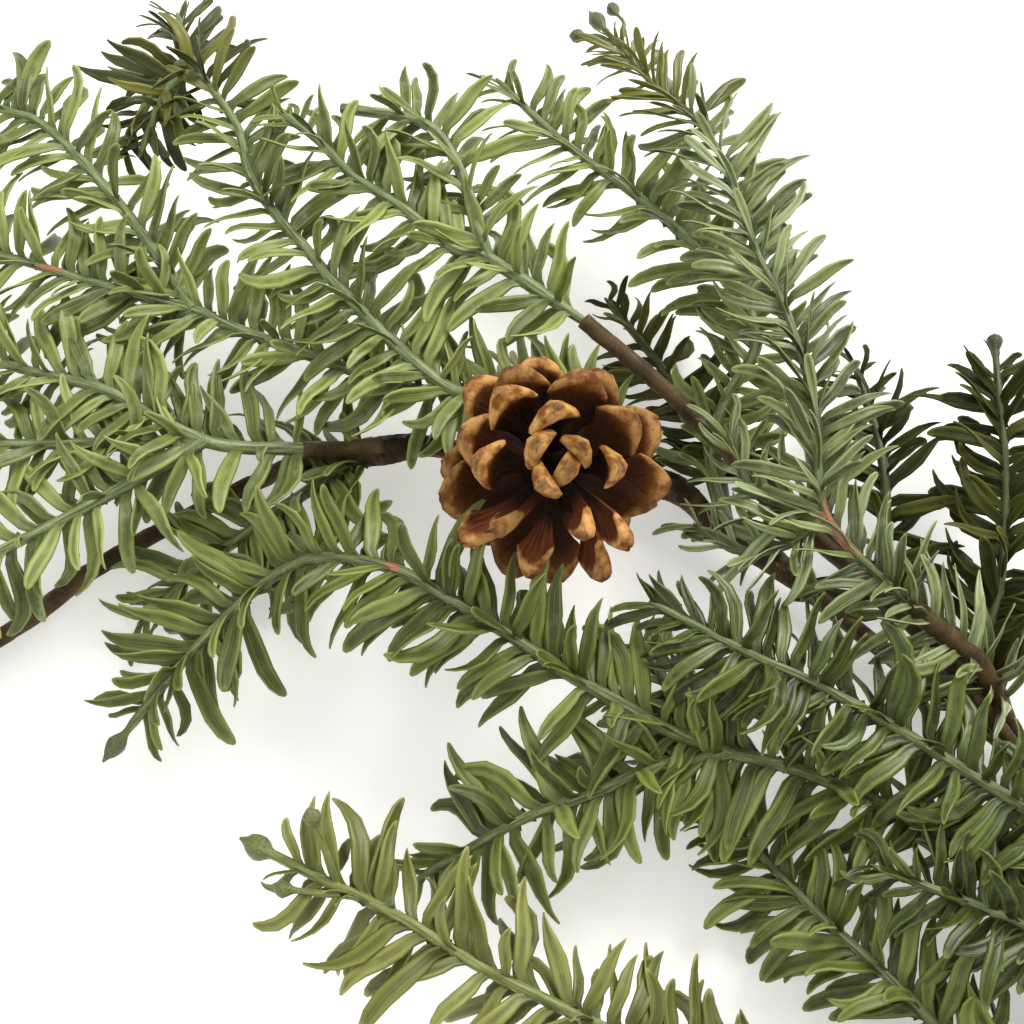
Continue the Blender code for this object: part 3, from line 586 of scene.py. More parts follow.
# The core is painted near black: partly its own dark wood, partly painted shade deep between the scales.
def coreFinish():
    material, b, place = newMaterial("coneCoreWood")
    cloud = b.noise(place, 300, 4)
    fibre = b.noise(place * (1.0, 1.0, 0.2), 1500)
    colour = b.ramp(cloud * 0.6 + fibre * 0.4, [(0.3, (8, 4, 2)), (0.6, (26, 12, 7)), (0.8, (70, 38, 22))])
    return closeMaterial(material, b, colour, 0.7 + fibre * 0.2, (0.8, 0.0005, fibre + cloud),
                         {"Specular IOR Level": 0.1})


def tapeFinish(name, tones):
    material, b, place = newMaterial(name)
    around, along = splitUv(b, "tapeUv")
    edge = (along + around).sum("FRACT")      # one wrap for each whole number
    crepe = b.noise(b.point(around * 3.0, along * 26), 1.0, 4, 0.65)
    cloud = b.noise(place, 120, 4)
    fibre = b.noise(place, 1400)
    wax = b.rise(cloud + fibre * 0.3, 0.55, 0.85)
    # A pale line along each wrap's edge is a painted highlight, and the dark band just past it painted shade under
    # the step.
    colour = b.layers(tones["dark"], (b.rise(cloud, 0.3, 0.7), tones["body"]),
                      (b.rise(crepe, 0.5, 0.8) * 0.55, tones["pale"]),
                      (b.rise(edge, 0.90, 0.985) * 0.1, tones["pale"]),
                      (b.rise(edge, 0.0, 0.05, 0.4, 0), tones["dark"]))
    return closeMaterial(material, b, colour, 0.66 - wax * 0.24 + fibre * 0.1,
                         (0.8, 0.00035, crepe + fibre * 0.3 + cloud * 0.3),
                         {"Coat Weight": 0.08, "Coat Roughness": 0.38, "Specular IOR Level": 0.25})


def wireFinish(name, dark, light, metallic, roughness):
    material, b, place = newMaterial(name)
    drawn = b.noise(place * (0.2, 1.0, 1.0), 1800)
    cloud = b.noise(place, 240)
    return closeMaterial(material, b, b.mixColour(drawn * 0.5 + cloud * 0.5, dark, light),
                         roughness + (cloud - 0.5) * 0.3, (0.4, 0.0001, drawn), {"Metallic": metallic})


def tableFinish():
    material, b, place = newMaterial("tableWhite")
    cloud = b.noise(place, 6, 4)
    shader = b.make("ShaderNodeBsdfPrincipled", {}, {
        "Base Color": b.mixColour(cloud, (0.86, 0.855, 0.83, 1), (0.90, 0.895, 0.875, 1)),
        "Roughness": 0.75 + cloud * 0.1, "Emission Color": (1.0, 0.99, 0.965, 1), "Emission Strength": 0.42})
    b.make("ShaderNodeOutputMaterial", {}, {"Surface": shader})
    return material


paints = {name: needleFinish(name, row) for name, row in greens.items()}
paints.update({name: twigFinish(name, tones) for name, tones in twigTones.items()})
paints["scale"] = scaleFinish()
paints["core"] = coreFinish()
paints["tape"] = tapeFinish("brownPaperTape", dict(dark=(56, 44, 26), body=(98, 75, 44), pale=(138, 114, 76)))
paints["tie"] = wireFinish("greenTieWire", (30, 44, 26), (58, 74, 46), 0.3, 0.45)
paints["wire"] = wireFinish("bareWire", (120, 118, 114), (190, 188, 184), 1.0, 0.35)
print("finishes ready:", len(paints))


# A skin over rings of points with the same number of corners in each, shut at both ends.
def loft(name, points, corners, readings=None, uvName=None, uv=None, wrapped=False):
    rings = len(points) // corners
    faces = [[r * corners + c, r * corners + (c + 1) % corners, (r + 1) * corners + (c + 1) % corners,
              (r + 1) * corners + c] for r in range(rings - 1) for c in range(corners)]
    faces.append(list(range(corners))[::-1])
    faces.append(list(range((rings - 1) * corners, rings * corners)))
    mesh = bpy.data.meshes.new(name)
    mesh.from_pydata([tuple(p) for p in points], [], faces)
    for label, values in (readings or {}).items():
        mesh.attributes.new(label, "FLOAT", "POINT").data.foreach_set("value", values)
    mesh.validate()
    if uvName:
        addUv(mesh, uvName, uv, corners if wrapped else 0)
    faceOutward(mesh)
    return mesh


# Where a pattern is wrapped round, the seam's last corners read as a whole lap, so that it closes.
def addUv(mesh, name, uv, corners):
    layer = mesh.uv_layers.new(name=name)
    for polygon in mesh.polygons:
        loops = [mesh.loops[i] for i in polygon.loop_indices]
        laps = [loop.vertex_index % corners for loop in loops] if corners else []
        seam = len(laps) == 4 and 0 in laps and corners - 1 in laps
        for loop in loops:
            u, v = uv[loop.vertex_index]
            layer.data[loop.index].uv = (u + (1 if seam and loop.vertex_index % corners == 0 else 0), v)


def faceOutward(mesh):
    bm = bmesh.new()
    bm.from_mesh(mesh)
    bmesh.ops.recalc_face_normals(bm, faces=bm.faces)
    bm.to_mesh(mesh)
    bm.free()
    for polygon in mesh.polygons:
        polygon.use_smooth = True


def newPiece(name, mesh):
    piece = bpy.data.objects.new(name, mesh)
    bpy.context.scene.collection.objects.link(piece)
    return piece


def showPiece(node, mesh):
    piece = newPiece(pieceName(node), mesh)
    mesh.name = piece.name
    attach(piece, "root")
    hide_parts(node)


needle = {
    "length": 21.2, "halfWidth": 1.98, "foot": 3.6, "footDepth": 1.2, "kinds": 8, "seed": 31,
    "arch": 0.8, "slant": 0.707, "points": [0.2, 0.9, 1.8], "pointFrom": 0.6,
    "widths": [0.28, 0.44, 0.56, 0.70, 0.90, 1.0, 1.0, 0.86, 0.60, 0.24],
    "places": [-1.0, -0.45, 0.03, 0.16, 0.32, 0.50, 0.70, 0.86, 0.955, 1.0],
}
# Section of a needle: how far across, how high in millimetres, and whether it is on the upper face.
needleSection = [(-1.0, 0.05, 0.6), (-0.68, 0.42, 1), (-0.30, 0.22, 1), (0.0, 0.10, 1), (0.30, 0.22, 1),
                 (0.68, 0.42, 1), (1.0, 0.05, 0.6), (0.5, -0.30, 0), (-0.5, -0.30, 0)]
needleBends = [(0.0, 0.22), (0.22, 0.35), (0.57, 0.43)]      # where each bend starts, and how long it is


def needleKind(number, hand):
    rng = random.Random(needle["seed"] + number % needle["kinds"])
    length = needle["length"] * rng.uniform(0.9, 1.1)
    forward = Vector((needle["slant"] * hand, needle["slant"], 0))      # along the twig
    away = Vector((-needle["slant"] * hand, needle["slant"], 0))        # straight out from it
    sweep = [16, rng.uniform(58, 96), rng.uniform(20, 60), rng.uniform(-30, 100)]
    droop, twist = rng.uniform(-3.0, 6.0), rng.uniform(-70, 70)
    pointed = needle["points"][number % len(needle["points"])]
    ways = []
    for place in needle["places"]:
        k = 0 if place < needleBends[1][0] else 1 if place < needleBends[2][0] else 2
        start, share = needleBends[k]
        angle = radians(sweep[k] + (sweep[k + 1] - sweep[k]) * (place - start) / share)
        ways.append(forward if place < 0 else forward * cos(angle) + away * sin(angle))
    middles = [(forward + away * needle["footDepth"] / needle["foot"]) * place * needle["foot"]
               for place in needle["places"] if place < 0]
    middles.append(Vector((0, 0, 0)))
    for k in range(len(middles), len(needle["places"])):
        step = (needle["places"][k] - needle["places"][k - 1]) * length
        middles.append(middles[-1] + (ways[k] + ways[k - 1]).normalized() * step)
    points, upper, uv = [], [], []
    for middle, way, place, width in zip(middles, ways, needle["places"], needle["widths"]):
        share = max(place, 0)
        lift = Vector((0, 0, -droop * share ** 2 + needle["arch"] * sin(share * pi)))
        turn = Matrix.Rotation(radians(twist) * share, 3, way)
        across, high = turn @ Vector((way.y, -way.x, 0)).normalized(), turn @ upward
        half = needle["halfWidth"] * width * (1 - pointed * max(0, share - needle["pointFrom"]))
        full = min(1.0, 0.35 + width * 0.7)
        for a, h, top in needleSection:
            points.append((middle + lift + across * a * half + high * h * full) * mm)
            upper.append(top)
            uv.append((0.5 + a * 0.5, share))
    return loft(f"needleKind{number}", points, len(needleSection), {"upperFace": upper}, "needleUv", uv)


def hiddenSet(name, meshes):
    kinds = bpy.data.collections.new(name)
    for mesh in meshes:
        kinds.objects.link(bpy.data.objects.new(mesh.name, mesh))
    return kinds


needleKinds = hiddenSet("needleKinds", [needleKind(k, 1 if k < needle["kinds"] else -1)
                                        for k in range(2 * needle["kinds"])])


# A modifier tree with its named inputs: numbers and then finishes.
def newTree(name, inputs, finishLabels):
    tree = bpy.data.node_groups.new(name, "GeometryNodeTree")
    tree.is_modifier = True
    tree.interface.new_socket("Geometry", in_out="INPUT", socket_type="NodeSocketGeometry")
    for label, value in inputs.items():
        kind = "NodeSocketInt" if isinstance(value, int) else "NodeSocketFloat"
        tree.interface.new_socket(label, in_out="INPUT", socket_type=kind).default_value = value
    for label in finishLabels:
        tree.interface.new_socket(label, in_out="INPUT", socket_type="NodeSocketMaterial")
    tree.interface.new_socket("Geometry", in_out="OUTPUT", socket_type="NodeSocketGeometry")
    return tree, Bench(tree)


def closeTree(b, *parts):
    joined = b.make("GeometryNodeJoinGeometry", {}, {"Geometry": list(parts)})
    whole = b.make("GeometryNodeSetShadeSmooth", {}, {"Geometry": joined, "Shade Smooth": True})
    b.make("NodeGroupOutput", {}, {"Geometry": whole})


# Random values of a tree. Each has its own number, and the Seed input shifts them all.
def chances(b, stride):
    def chance(low, high, number):
        return b.make("FunctionNodeRandomValue", {"data_type": "FLOAT"},
                      {"Min": low, "Max": high, "Seed": b.given("Seed") * stride + number}, "Value")
    return chance


growth = {"bumpScale": 700, "budRough": 0.0012, "twigRough": 0.00035, "closing": 0.026, "closingLean": 24.0,
          "seatDepth": 0.62, "seatSlip": 0.0009, "standing": (8, 50), "sideways": (54, 86), "layer": 34,
          "sizes": (0.76, 1.20), "tipShrink": 0.018, "standingShrink": 0.12, "ageShrink": 0.16, "lost": 0.07}


# The tree that turns twig lines into twigs with needles.
def growTree():
    tree, b = newTree("growNeedles", {
        "Needle Pitch": plainSpray["pitch"], "Twig Sides": 9, "Lean": plainSpray["lean"], "Lean Spread": 17.0,
        "Size": plainSpray["size"], "Standing": plainSpray["standing"], "Slim": plainSpray["slim"],
        "Droop": plainSpray["droop"], "Seed": 1}, ("Needle Finish", "Twig Finish"))
    given, read, chance = b.given, b.read, chances(b, 17)

    line = b.make("GeometryNodeMeshToCurve", {}, {"Mesh": given("Geometry")})
    outline = b.make("GeometryNodeCurvePrimitiveCircle", {}, {"Resolution": given("Twig Sides"), "Radius": 1.0})
    outline = b.store(outline, "lap", b.make("GeometryNodeInputIndex") / given("Twig Sides"))
    tube = b.make("GeometryNodeCurveToMesh", {}, {"Curve": line, "Profile Curve": outline, "Scale": read("thick"),
                                                  "Fill Caps": True})
    rough = b.noise(b.make("GeometryNodeInputPosition"), growth["bumpScale"], 2)
    push = (rough - 0.5) * (read("bud") * growth["budRough"] + growth["twigRough"])
    push = b.make("GeometryNodeInputNormal") * push
    tube = b.make("GeometryNodeSetPosition", {}, {"Geometry": tube, "Offset": push})
    # The pattern runs round and back again, so that it closes at the seam.
    lap = (read("lap") - 0.5).sum("ABSOLUTE") * 2
    tube = b.store(tube, "twigUv", b.point(lap, read("reach")), "CORNER", "FLOAT2")
    tube = b.dress(tube, "Twig Finish")

    seats = b.make("GeometryNodeCurveToPoints", {"mode": "LENGTH"},
                   {"Curve": line, "Length": given("Needle Pitch") * mm}, "Points")
    seats = b.make("GeometryNodeDeleteGeometry", {"domain": "POINT"},
                   {"Geometry": seats, "Selection": read("leaf") < 0.5})
    # Needles go left and right in turn, in two layers, and a few stand up from the twig.
    order = b.make("GeometryNodeInputIndex")
    odd = order.sum("MODULO", 2)
    hand = odd * 2 - 1
    sideways = read("side", "FLOAT_VECTOR")
    ahead = read("heading", "FLOAT_VECTOR")
    up = sideways.sum("CROSS_PRODUCT", ahead)
    standing = given("Standing") > chance(0, 1, 9)
    layer = (order / 2).sum("FLOOR").sum("MODULO", 2)
    turn = layer * growth["layer"] + chance(*growth["sideways"], 4) + given("Droop")
    turn = (standing * chance(*growth["standing"], 3) + (1 - standing) * turn) * oneDegree
    out = up * turn.sum("COSINE") + sideways * (hand * turn.sum("SINE"))
    closing = b.rise(read("toTip"), 0.0, growth["closing"], growth["closingLean"], 0.0)
    lean = (given("Lean") + given("Lean Spread") * chance(-1, 1, 5) + closing) * oneDegree
    way = out * lean.sum("COSINE") + ahead * lean.sum("SINE")
    spin = b.aimed(way, up * turn.sum("SINE") - sideways * (hand * turn.sum("COSINE")))
    slip = ahead * chance(-growth["seatSlip"], growth["seatSlip"], 10)
    seats = b.make("GeometryNodeSetPosition", {}, {
        "Geometry": seats, "Offset": out * (read("thick") * growth["seatDepth"]) + slip})
    seats = b.store(seats, "under", layer * (1 - standing))
    pick = odd * needle["kinds"] + chance(0, needle["kinds"] - 0.01, 6).sum("FLOOR")
    size = given("Size") * chance(*growth["sizes"], 7) * (1 - closing * growth["tipShrink"])
    size = size * (1 - standing * growth["standingShrink"])
    size = size * (1 - read("age").sum("MAXIMUM", 0.0) * growth["ageShrink"])
    kept = chance(0, 1, 12) > (read("shy") * hand).sum("MAXIMUM", growth["lost"])
    leaves = b.instances(seats, needleKinds, {"Selection": kept, "Instance Index": pick, "Rotation": spin,
                                              "Scale": b.point(size * given("Slim"), size, size)})
    # Needles of the lower layer get a lower tone and so a darker green: painted shade under the upper layer.
    leaves = b.store(leaves, "tone", chance(0, 1, 8) * (1 - read("under") * 0.6), "INSTANCE")
    leaves = b.make("GeometryNodeRealizeInstances", {}, {"Geometry": leaves})
    closeTree(b, b.dress(leaves, "Needle Finish"), tube)
    return tree


def settle(source, tree, values):
    holder = newPiece("settling", source)
    step = holder.modifiers.new("grow", "NODES")
    step.node_group = tree
    labels = {item.name: item.identifier for item in tree.interface.items_tree if item.in_out == "INPUT"}
    for label, value in values.items():
        step[labels[label]] = value
    bpy.context.view_layer.update()
    mesh = bpy.data.meshes.new_from_object(holder.evaluated_get(bpy.context.evaluated_depsgraph_get()))
    holder.modifiers.remove(step)
    bpy.data.objects.remove(holder)
    bpy.data.meshes.remove(source)
    return mesh


# How thick a twig's end is, in millimetres past its last needle: (distance, radius, roughness).
tipShapes = {
    "bud": [(0, 1.35, 0), (1.5, 1.3, 0), (2.6, 1.7, 0.6), (4.0, 2.7, 1), (5.6, 3.3, 1), (7.2, 3.1, 1), (8.6, 2.3, 1),
            (9.8, 1.3, 0.8), (10.8, 0.7, 0.3), (11.6, 0.4, 0)],
    "tuft": [(0, 1.2, 0), (2, 0.9, 0), (4, 0.6, 0), (5, 0.3, 0)],
    "cut": [(0, 1.7, 0), (8, 1.7, 0), (9.5, 1.65, 0), (9.9, 1.2, 0), (10.0, 0.5, 0)],
    "knob": [(0, 1.3, 0), (1.5, 1.3, 0), (2.6, 1.9, 0.6), (3.8, 2.4, 1), (5.2, 2.3, 1), (6.3, 1.4, 0.8),
             (6.9, 0.5, 0.5)],
    "ball": [(0, 0.8, 0), (1.0, 1.1, 0.5), (2.0, 1.9, 1), (3.2, 2.3, 1), (4.4, 2.0, 1), (5.3, 1.1, 0.8),
             (5.8, 0.4, 0.5)],
}
# The last needles stand past the end of a tuft, and stop short of any other tip.
twig = {"radius": 2.3, "forkShare": 0.86, "stalkRadius": 1.0, "step": 1.5, "stalkStep": 1.0, "bareFork": 2.0,
        "bareButt": 6.0, "neverBare": 1e9, "tipTrim": 0.65, "rootThin": 0.54, "rootSwell": 0.026,
        "pastTuft": 3.0, "pastOther": -5.0, "shyShare": 0.85, "intoStem": 1.0}


def longStemPath():
    roots = rootPoints(*longStem["join"], radius=longStem["radius"])
    return smooth(roots + [Vector(p) for p in longStem["points"]], longStem["step"])


# Each twig of a spray: its path, how much of it is bare, and whether it is a fork of the first.
def twigPaths(spray):
    paths = []
    for number, points in enumerate(spray["twigs"]):
        points = [Vector(p) for p in points]
        bare = twig["bareFork"]
        if number == 0 and spray["join"]:
            points = rootPoints(*spray["join"], spray["butt"]) + points
            bare = spray["bare"]
        elif number == 0:
            end, before = longStemPath()[-1], longStemPath()[-2]
            points = [end - (end - before).normalized() * twig["intoStem"]] + points
            bare = twig["bareButt"]
        paths.append((smooth(points, twig["step"]), bare, number > 0))
    return paths


def distances(point, spots):
    return [((point - Vector(place)).length, *rest) for place, *rest in spots]


def twigLines(spray):
    rows, edges = [], []
    tips = [*spray["tips"], *["tuft"] * len(spray["twigs"])]
    paths = [(*path, tips[k]) for k, path in enumerate(twigPaths(spray))]
    paths += [(smooth(stalk, twig["stalkStep"]), twig["neverBare"], True, "ball") for stalk in spray["stalks"]]
    for path, bare, fork, tip in paths:
        shape = tipShapes[tip]
        if bare < twig["neverBare"]:
            path = path[:len(path) - int(shape[-1][0] * twig["tipTrim"] / twig["step"])]
        inner = sum((b - a).length for a, b in zip(path, path[1:]))
        way = (path[-1] - path[-2]).normalized()
        whole = path[:-1] + [path[-1] + way * d for d, r, k in shape]
        lastLeaf = inner + (twig["pastTuft"] if tip == "tuft" else twig["pastOther"])
        start = twig["stalkRadius"] if bare > inner else twig["radius"] * (twig["forkShare"] if fork else 1)
        gone = 0.0
        for k, point in enumerate(whole):
            heading = (whole[min(k + 1, len(whole) - 1)] - whole[max(k - 1, 0)]).normalized()
            if k:
                gone += (point - whole[k - 1]).length
                edges.append((len(rows) - 1, len(rows)))
            if k >= len(path) - 1:
                radius, knob = shape[k - (len(path) - 1)][1:]
                radius *= spray["budSize"] if tip == "bud" else 1.0
            else:
                radius, knob = start + (shape[0][1] - start) * (gone / inner), 0
                radius *= spray["stout"]
                if not fork:      # the root is thin where the tape holds it
                    radius *= min(1.0, twig["rootThin"] + gone * twig["rootSwell"])
            rows.append(dict(
                point=placed(point), heading=heading, side=heading.cross(upward).normalized(),
                thick=radius * mm, leaf=1.0 if bare < gone < lastLeaf else 0.0, reach=gone,
                toTip=max(inner - gone, 0) * mm, bud=float(knob),
                fleck=max((1.3 - d / size for d, size in distances(point, spray["flecks"])), default=0),
                age=sum(age * max(0, min(1, 1.6 - 1.2 * d / size))
                        for d, size, age in distances(point, spray["ages"])),
                shy=sum(hand * twig["shyShare"] for d, size, hand in distances(point, spray["shy"]) if d < size)))
    mesh = bpy.data.meshes.new("twigLine")
    mesh.from_pydata([tuple(row.pop("point")) for row in rows], edges, [])
    for label, first in rows[0].items():
        wide = isinstance(first, Vector)
        layer = mesh.attributes.new(label, "FLOAT_VECTOR" if wide else "FLOAT", "POINT")
        values = [part for row in rows for part in (row[label] if wide else (row[label],))]
        layer.data.foreach_set("vector" if wide else "value", values)
    return mesh


# Needle finish, twig finish and slot.
# The lighter and darker copies of one green are painted light and painted shade: the bloomed one and the one with the
# bluish sheen are painted lighter, the deep one and the shade one painted darker for sprays in shade.
finishes = {"young": ("needleYellowGreen", "twigYellowGreen", "foliage_young"),
            "shade": ("needleShadeGreen", "twigShadeGreen", "foliage_shade"),
            "bloomed": ("needleGreenBloomed", "twigGreen", "foliage"),
            "bluish": ("needleGreenBluish", "twigDeepGreen", "foliage"),
            "deep": ("needleDeepGreen", "twigDeepGreen", "foliage"),
            "plain": ("needleGreen", "twigDeepGreen", "foliage")}
needleTree = growTree()
tableGap = {"bend": 0.0012, "rest": 0.0002}
faces = 0
for number, (node, spray) in enumerate(sprays.items(), 1):
    needlePaint, twigPaint, slot = finishes[spray["finish"]]
    mesh = settle(twigLines(spray), needleTree, {
        "Needle Pitch": spray["pitch"], "Lean": spray["lean"], "Size": spray["size"],
        "Standing": spray["standing"], "Slim": spray["slim"], "Droop": spray["droop"], "Seed": number,
        "Needle Finish": paints[needlePaint], "Twig Finish": paints[twigPaint]})
    # A needle tip that meets the table bends along it and keeps some thickness.
    for vertex in mesh.vertices:
        under = (tableGap["bend"] - vertex.co.z) / tableGap["bend"]
        if under > 0:
            vertex.co.z = tableGap["rest"] + (tableGap["bend"] - tableGap["rest"]) / (1 + under)
    showPiece(node, mesh)
    faces += len(mesh.polygons)
print("sprays grown:", faces)


# The scales of a cone: woody spoons on a spiral, wide open below and closing towards the tip.
cone = {
    "scales": 40, "halfHeight": 20.0, "coreRadius": 6.4, "length": 27.6, "halfWidth": 9.4, "kinds": 5, "seed": 77,
    "stubRadius": 2.4, "stubLength": 13.0, "coreCorners": 14, "open": 125, "openSpread": 11, "lapSpread": 0.2,
    "rollSpread": 0.34, "edgeSag": 8.0, "edgeFrom": 0.58, "edgeTo": 0.93, "raggedFrom": 0.6, "endFrom": 0.9,
    "places": [0.0, 0.16, 0.34, 0.50, 0.64, 0.76, 0.85, 0.925, 0.955, 0.965],
    "widths": [0.34, 0.34, 0.42, 0.60, 0.82, 0.97, 1.0, 0.92, 0.60, 0.26],
    "over": [1.0, 0.9, 0.8, 0.9, 1.5, 2.6, 3.3, 2.5, 1.1, 0.5],
    "under": [-1.0, -0.9, -0.9, -1.0, -1.3, -2.0, -2.8, -3.2, -2.4, -1.2],
    "bow": [0.0, 0.0, 0.2, 0.9, 2.2, 4.2, 6.0, 5.8, 2.6, 0.5],
    "umbo": [0, 0, 0, 0, 0, 0, 0, 0, 0.60, 1.0],
    # How far open, how long and how wide the scales are, from the foot of the cone to its tip.
    "opening": [(0, 0.94), (0.3, 0.76), (0.55, 0.62), (0.75, 0.48), (0.88, 0.30), (0.94, 0.19), (0.975, 0.09),
                (1.0, 0.0)],
    "long": [(0, 0.60), (0.2, 0.90), (0.5, 1.0), (0.75, 0.93), (0.9, 0.78), (1.0, 0.60)],
    "wide": [(0, 0.72), (0.3, 1.0), (0.6, 0.98), (0.78, 0.80), (0.9, 0.66), (1.0, 0.55)],
}
acrossScale = [-0.93, -0.5, 0.0, 0.5, 0.93]


# One scale: a narrow foot, a hollow blade and a thick rounded end with a rough knob on it.
def scaleKind(number):
    rng = random.Random(cone["seed"] + number)
    points, outer, umbos, uv = [], [], [], []
    skew, hollow = rng.uniform(-1.6, 1.6), rng.uniform(1.4, 3.0)
    ragged = [rng.uniform(-0.8, 0.5) for _ in range(7)]
    rows = zip(*(cone[k] for k in ("places", "widths", "over", "under", "bow", "umbo")))
    for place, width, over, under, bow, umbo in rows:
        half = cone["halfWidth"] * width
        curl = 3.0 * place ** 2.6 - 1.8 * sin(place * pi)
        cushion = 1 - 0.85 * max(0.0, min(1.0, (place - 0.55) / 0.3))      # the end is no longer hollow
        lifted = hollow * sin(min(place / 0.8, 1) * pi / 2) * width * cushion
        end = place > cone["endFrom"]
        row = [(u, over * (1 - 0.55 * u * u) + lifted * u * u, 0.42 if end else 0.0) for u in acrossScale]
        row.append((1.0, lifted * 0.8, 0.42))
        row += [(u, under * (1 - 0.75 * u * u) + lifted * u * u * 0.6, 0.55 if end else 1.0)
                for u in reversed(acrossScale)]
        row.append((-1.0, lifted * 0.8, 0.42))
        for u, high, face in row:
            far = place * cone["length"] - bow * u * u
            far += ragged[round(3 + 3 * u)] * place ** 4 if place > cone["raggedFrom"] else 0
            points.append(Vector((u * half + skew * place, far, high + curl)) * mm)
            outer.append(face)
            umbos.append(umbo * (1 if abs(u) < 0.7 else 0.45))
            uv.append((0.5 + u * 0.5, place))
    return loft(f"scaleKind{number}", points, len(row), {"outerFace": outer, "umbo": umbos}, "scaleUv", uv)


scaleKinds = hiddenSet("scaleKinds", [scaleKind(k) for k in range(cone["kinds"])])


def curveProfile(b, value, points):
    profile = b.make("ShaderNodeFloatCurve", {}, {"Value": value})
    mapping = profile.socket.node.mapping
    while len(mapping.curves[0].points) < len(points):
        mapping.curves[0].points.new(0.5, 0.5)
    for point, place in zip(mapping.curves[0].points, points):
        point.location = place
    mapping.update()
    return profile


# The tree that sets scales on a spiral round the core.
def coneTree():
    tree, b = newTree("openCone", {
        "Scales": cone["scales"], "Seed": 1, "Half Height": cone["halfHeight"], "Core Radius": cone["coreRadius"],
        "Sag X": 0.0, "Sag Y": 0.0}, ("Scale Finish", "Core Finish"))
    given, chance = b.given, chances(b, 13)

    order = b.make("GeometryNodeInputIndex")
    height = order / (given("Scales") - 1)
    lap = order * goldenTurn + chance(-cone["lapSpread"], cone["lapSpread"], 1)
    out = b.point(lap.sum("COSINE"), lap.sum("SINE"))
    body = (1 - (height * 2 - 1) ** 2 * (0.58 + height * 0.42)).sum("SQRT") * given("Core Radius") * 0.8
    level = (height * 2 - 1) * given("Half Height")
    place = out * (body * mm) + b.point(0.0, 0.0, level * mm)
    seats = b.make("GeometryNodePoints", {}, {"Count": given("Scales"), "Position": place})
    opening = curveProfile(b, height, cone["opening"]) * cone["open"]
    opening = opening + chance(-cone["openSpread"], cone["openSpread"], 2)
    sagWay = b.point(given("Sag X"), given("Sag Y"))
    low = b.make("ShaderNodeVectorMath", {"operation": "DOT_PRODUCT"}, {0: out, 1: sagWay}, "Value")
    opening = (opening + low) * oneDegree
    axis = b.point(0.0, 0.0, 1.0)
    way = out * opening.sum("SINE") + axis * opening.sum("COSINE")
    inner = axis * opening.sum("SINE") - out * opening.sum("COSINE")
    # On the low side a few scales by the tip stand edgeways and narrow.
    edgeways = (low > cone["edgeSag"]) * (height > cone["edgeFrom"]) * (height < cone["edgeTo"])
    seats = b.store(seats, "edgeways", edgeways)
    roll = chance(-cone["rollSpread"], cone["rollSpread"], 7) + edgeways * chance(0.7, 1.25, 11)
    inner = inner * roll.sum("COSINE") + way.sum("CROSS_PRODUCT", inner) * roll.sum("SINE")
    long = curveProfile(b, height, cone["long"]) * chance(0.93, 1.05, 3) * (1 + edgeways * 0.10)
    wide = curveProfile(b, height, cone["wide"]) * chance(0.86, 1.10, 4) * (1 - edgeways * 0.35)
    scales = b.instances(seats, scaleKinds, {
        "Instance Index": chance(0, cone["kinds"] - 0.01, 5).sum("FLOOR"), "Rotation": b.aimed(way, inner),
        "Scale": b.point(wide, long, wide * 0.3 + 0.75)})
    scales = b.store(scales, "tone", chance(0, 1, 6), "INSTANCE")
    # The edgeways mark gives those scales a lighter red-brown foot, partly painted light.
    scales = b.store(scales, "red", b.read("edgeways"), "INSTANCE")
    scales = b.make("GeometryNodeRealizeInstances", {}, {"Geometry": scales})
    closeTree(b, b.dress(given("Geometry"), "Core Finish"), b.dress(scales, "Scale Finish"))
    return tree


# The woody core with its stub, turned as one round body.
def coneCore():
    reach, stub, corners = cone["halfHeight"], cone["stubRadius"], cone["coreCorners"]
    rings = [(-reach - cone["stubLength"], 0.5), (-reach - cone["stubLength"], stub), (-reach - 6, stub * 1.05),
             (-reach - 2, stub * 1.6)]
    rings += [(reach * t, cone["coreRadius"] * sqrt(max(0.03, 1 - t * t * 0.9)))
              for t in (-0.9, -0.6, -0.3, 0, 0.3, 0.6, 0.85)]
    rings += [(reach * 1.05, cone["coreRadius"] * 0.35), (reach * 1.15, 0.4)]
    points = []
    for z, r in rings:
        for c in range(corners):
            turn = 2 * pi * c / corners
            wobble = 1 + 0.10 * noise.noise(Vector((cos(turn) * 2, sin(turn) * 2, z * 0.3)))
            points.append(Vector((cos(turn) * r * wobble, sin(turn) * r * wobble, z)) * mm)
    return loft("coneCore", points, corners)


def conePlace(row):
    foot = stemFrame(row["at"])[0]
    middle = Vector((foot.x + row["middle"][0], foot.y + row["middle"][1], row["middle"][2]))
    tip = Vector(row["tip"]).normalized()
    return middle, tip, tip.to_track_quat("Z", "Y").to_matrix()


spiralTree = coneTree()
firstConeSeed = 4
for seed, (node, row) in enumerate(cones.items(), firstConeSeed):
    middle, tip, turn = conePlace(row)
    sag = turn.inverted() @ Vector((0, -1, 0)) * row["sag"]
    mesh = settle(coneCore(), spiralTree, {"Seed": seed, "Sag X": sag.x, "Sag Y": sag.y,
                                           "Scale Finish": paints["scale"], "Core Finish": paints["core"]})
    mesh.transform(Matrix.Translation(placed(middle)) @ turn.to_4x4())
    showPiece(node, mesh)
print("cones built")


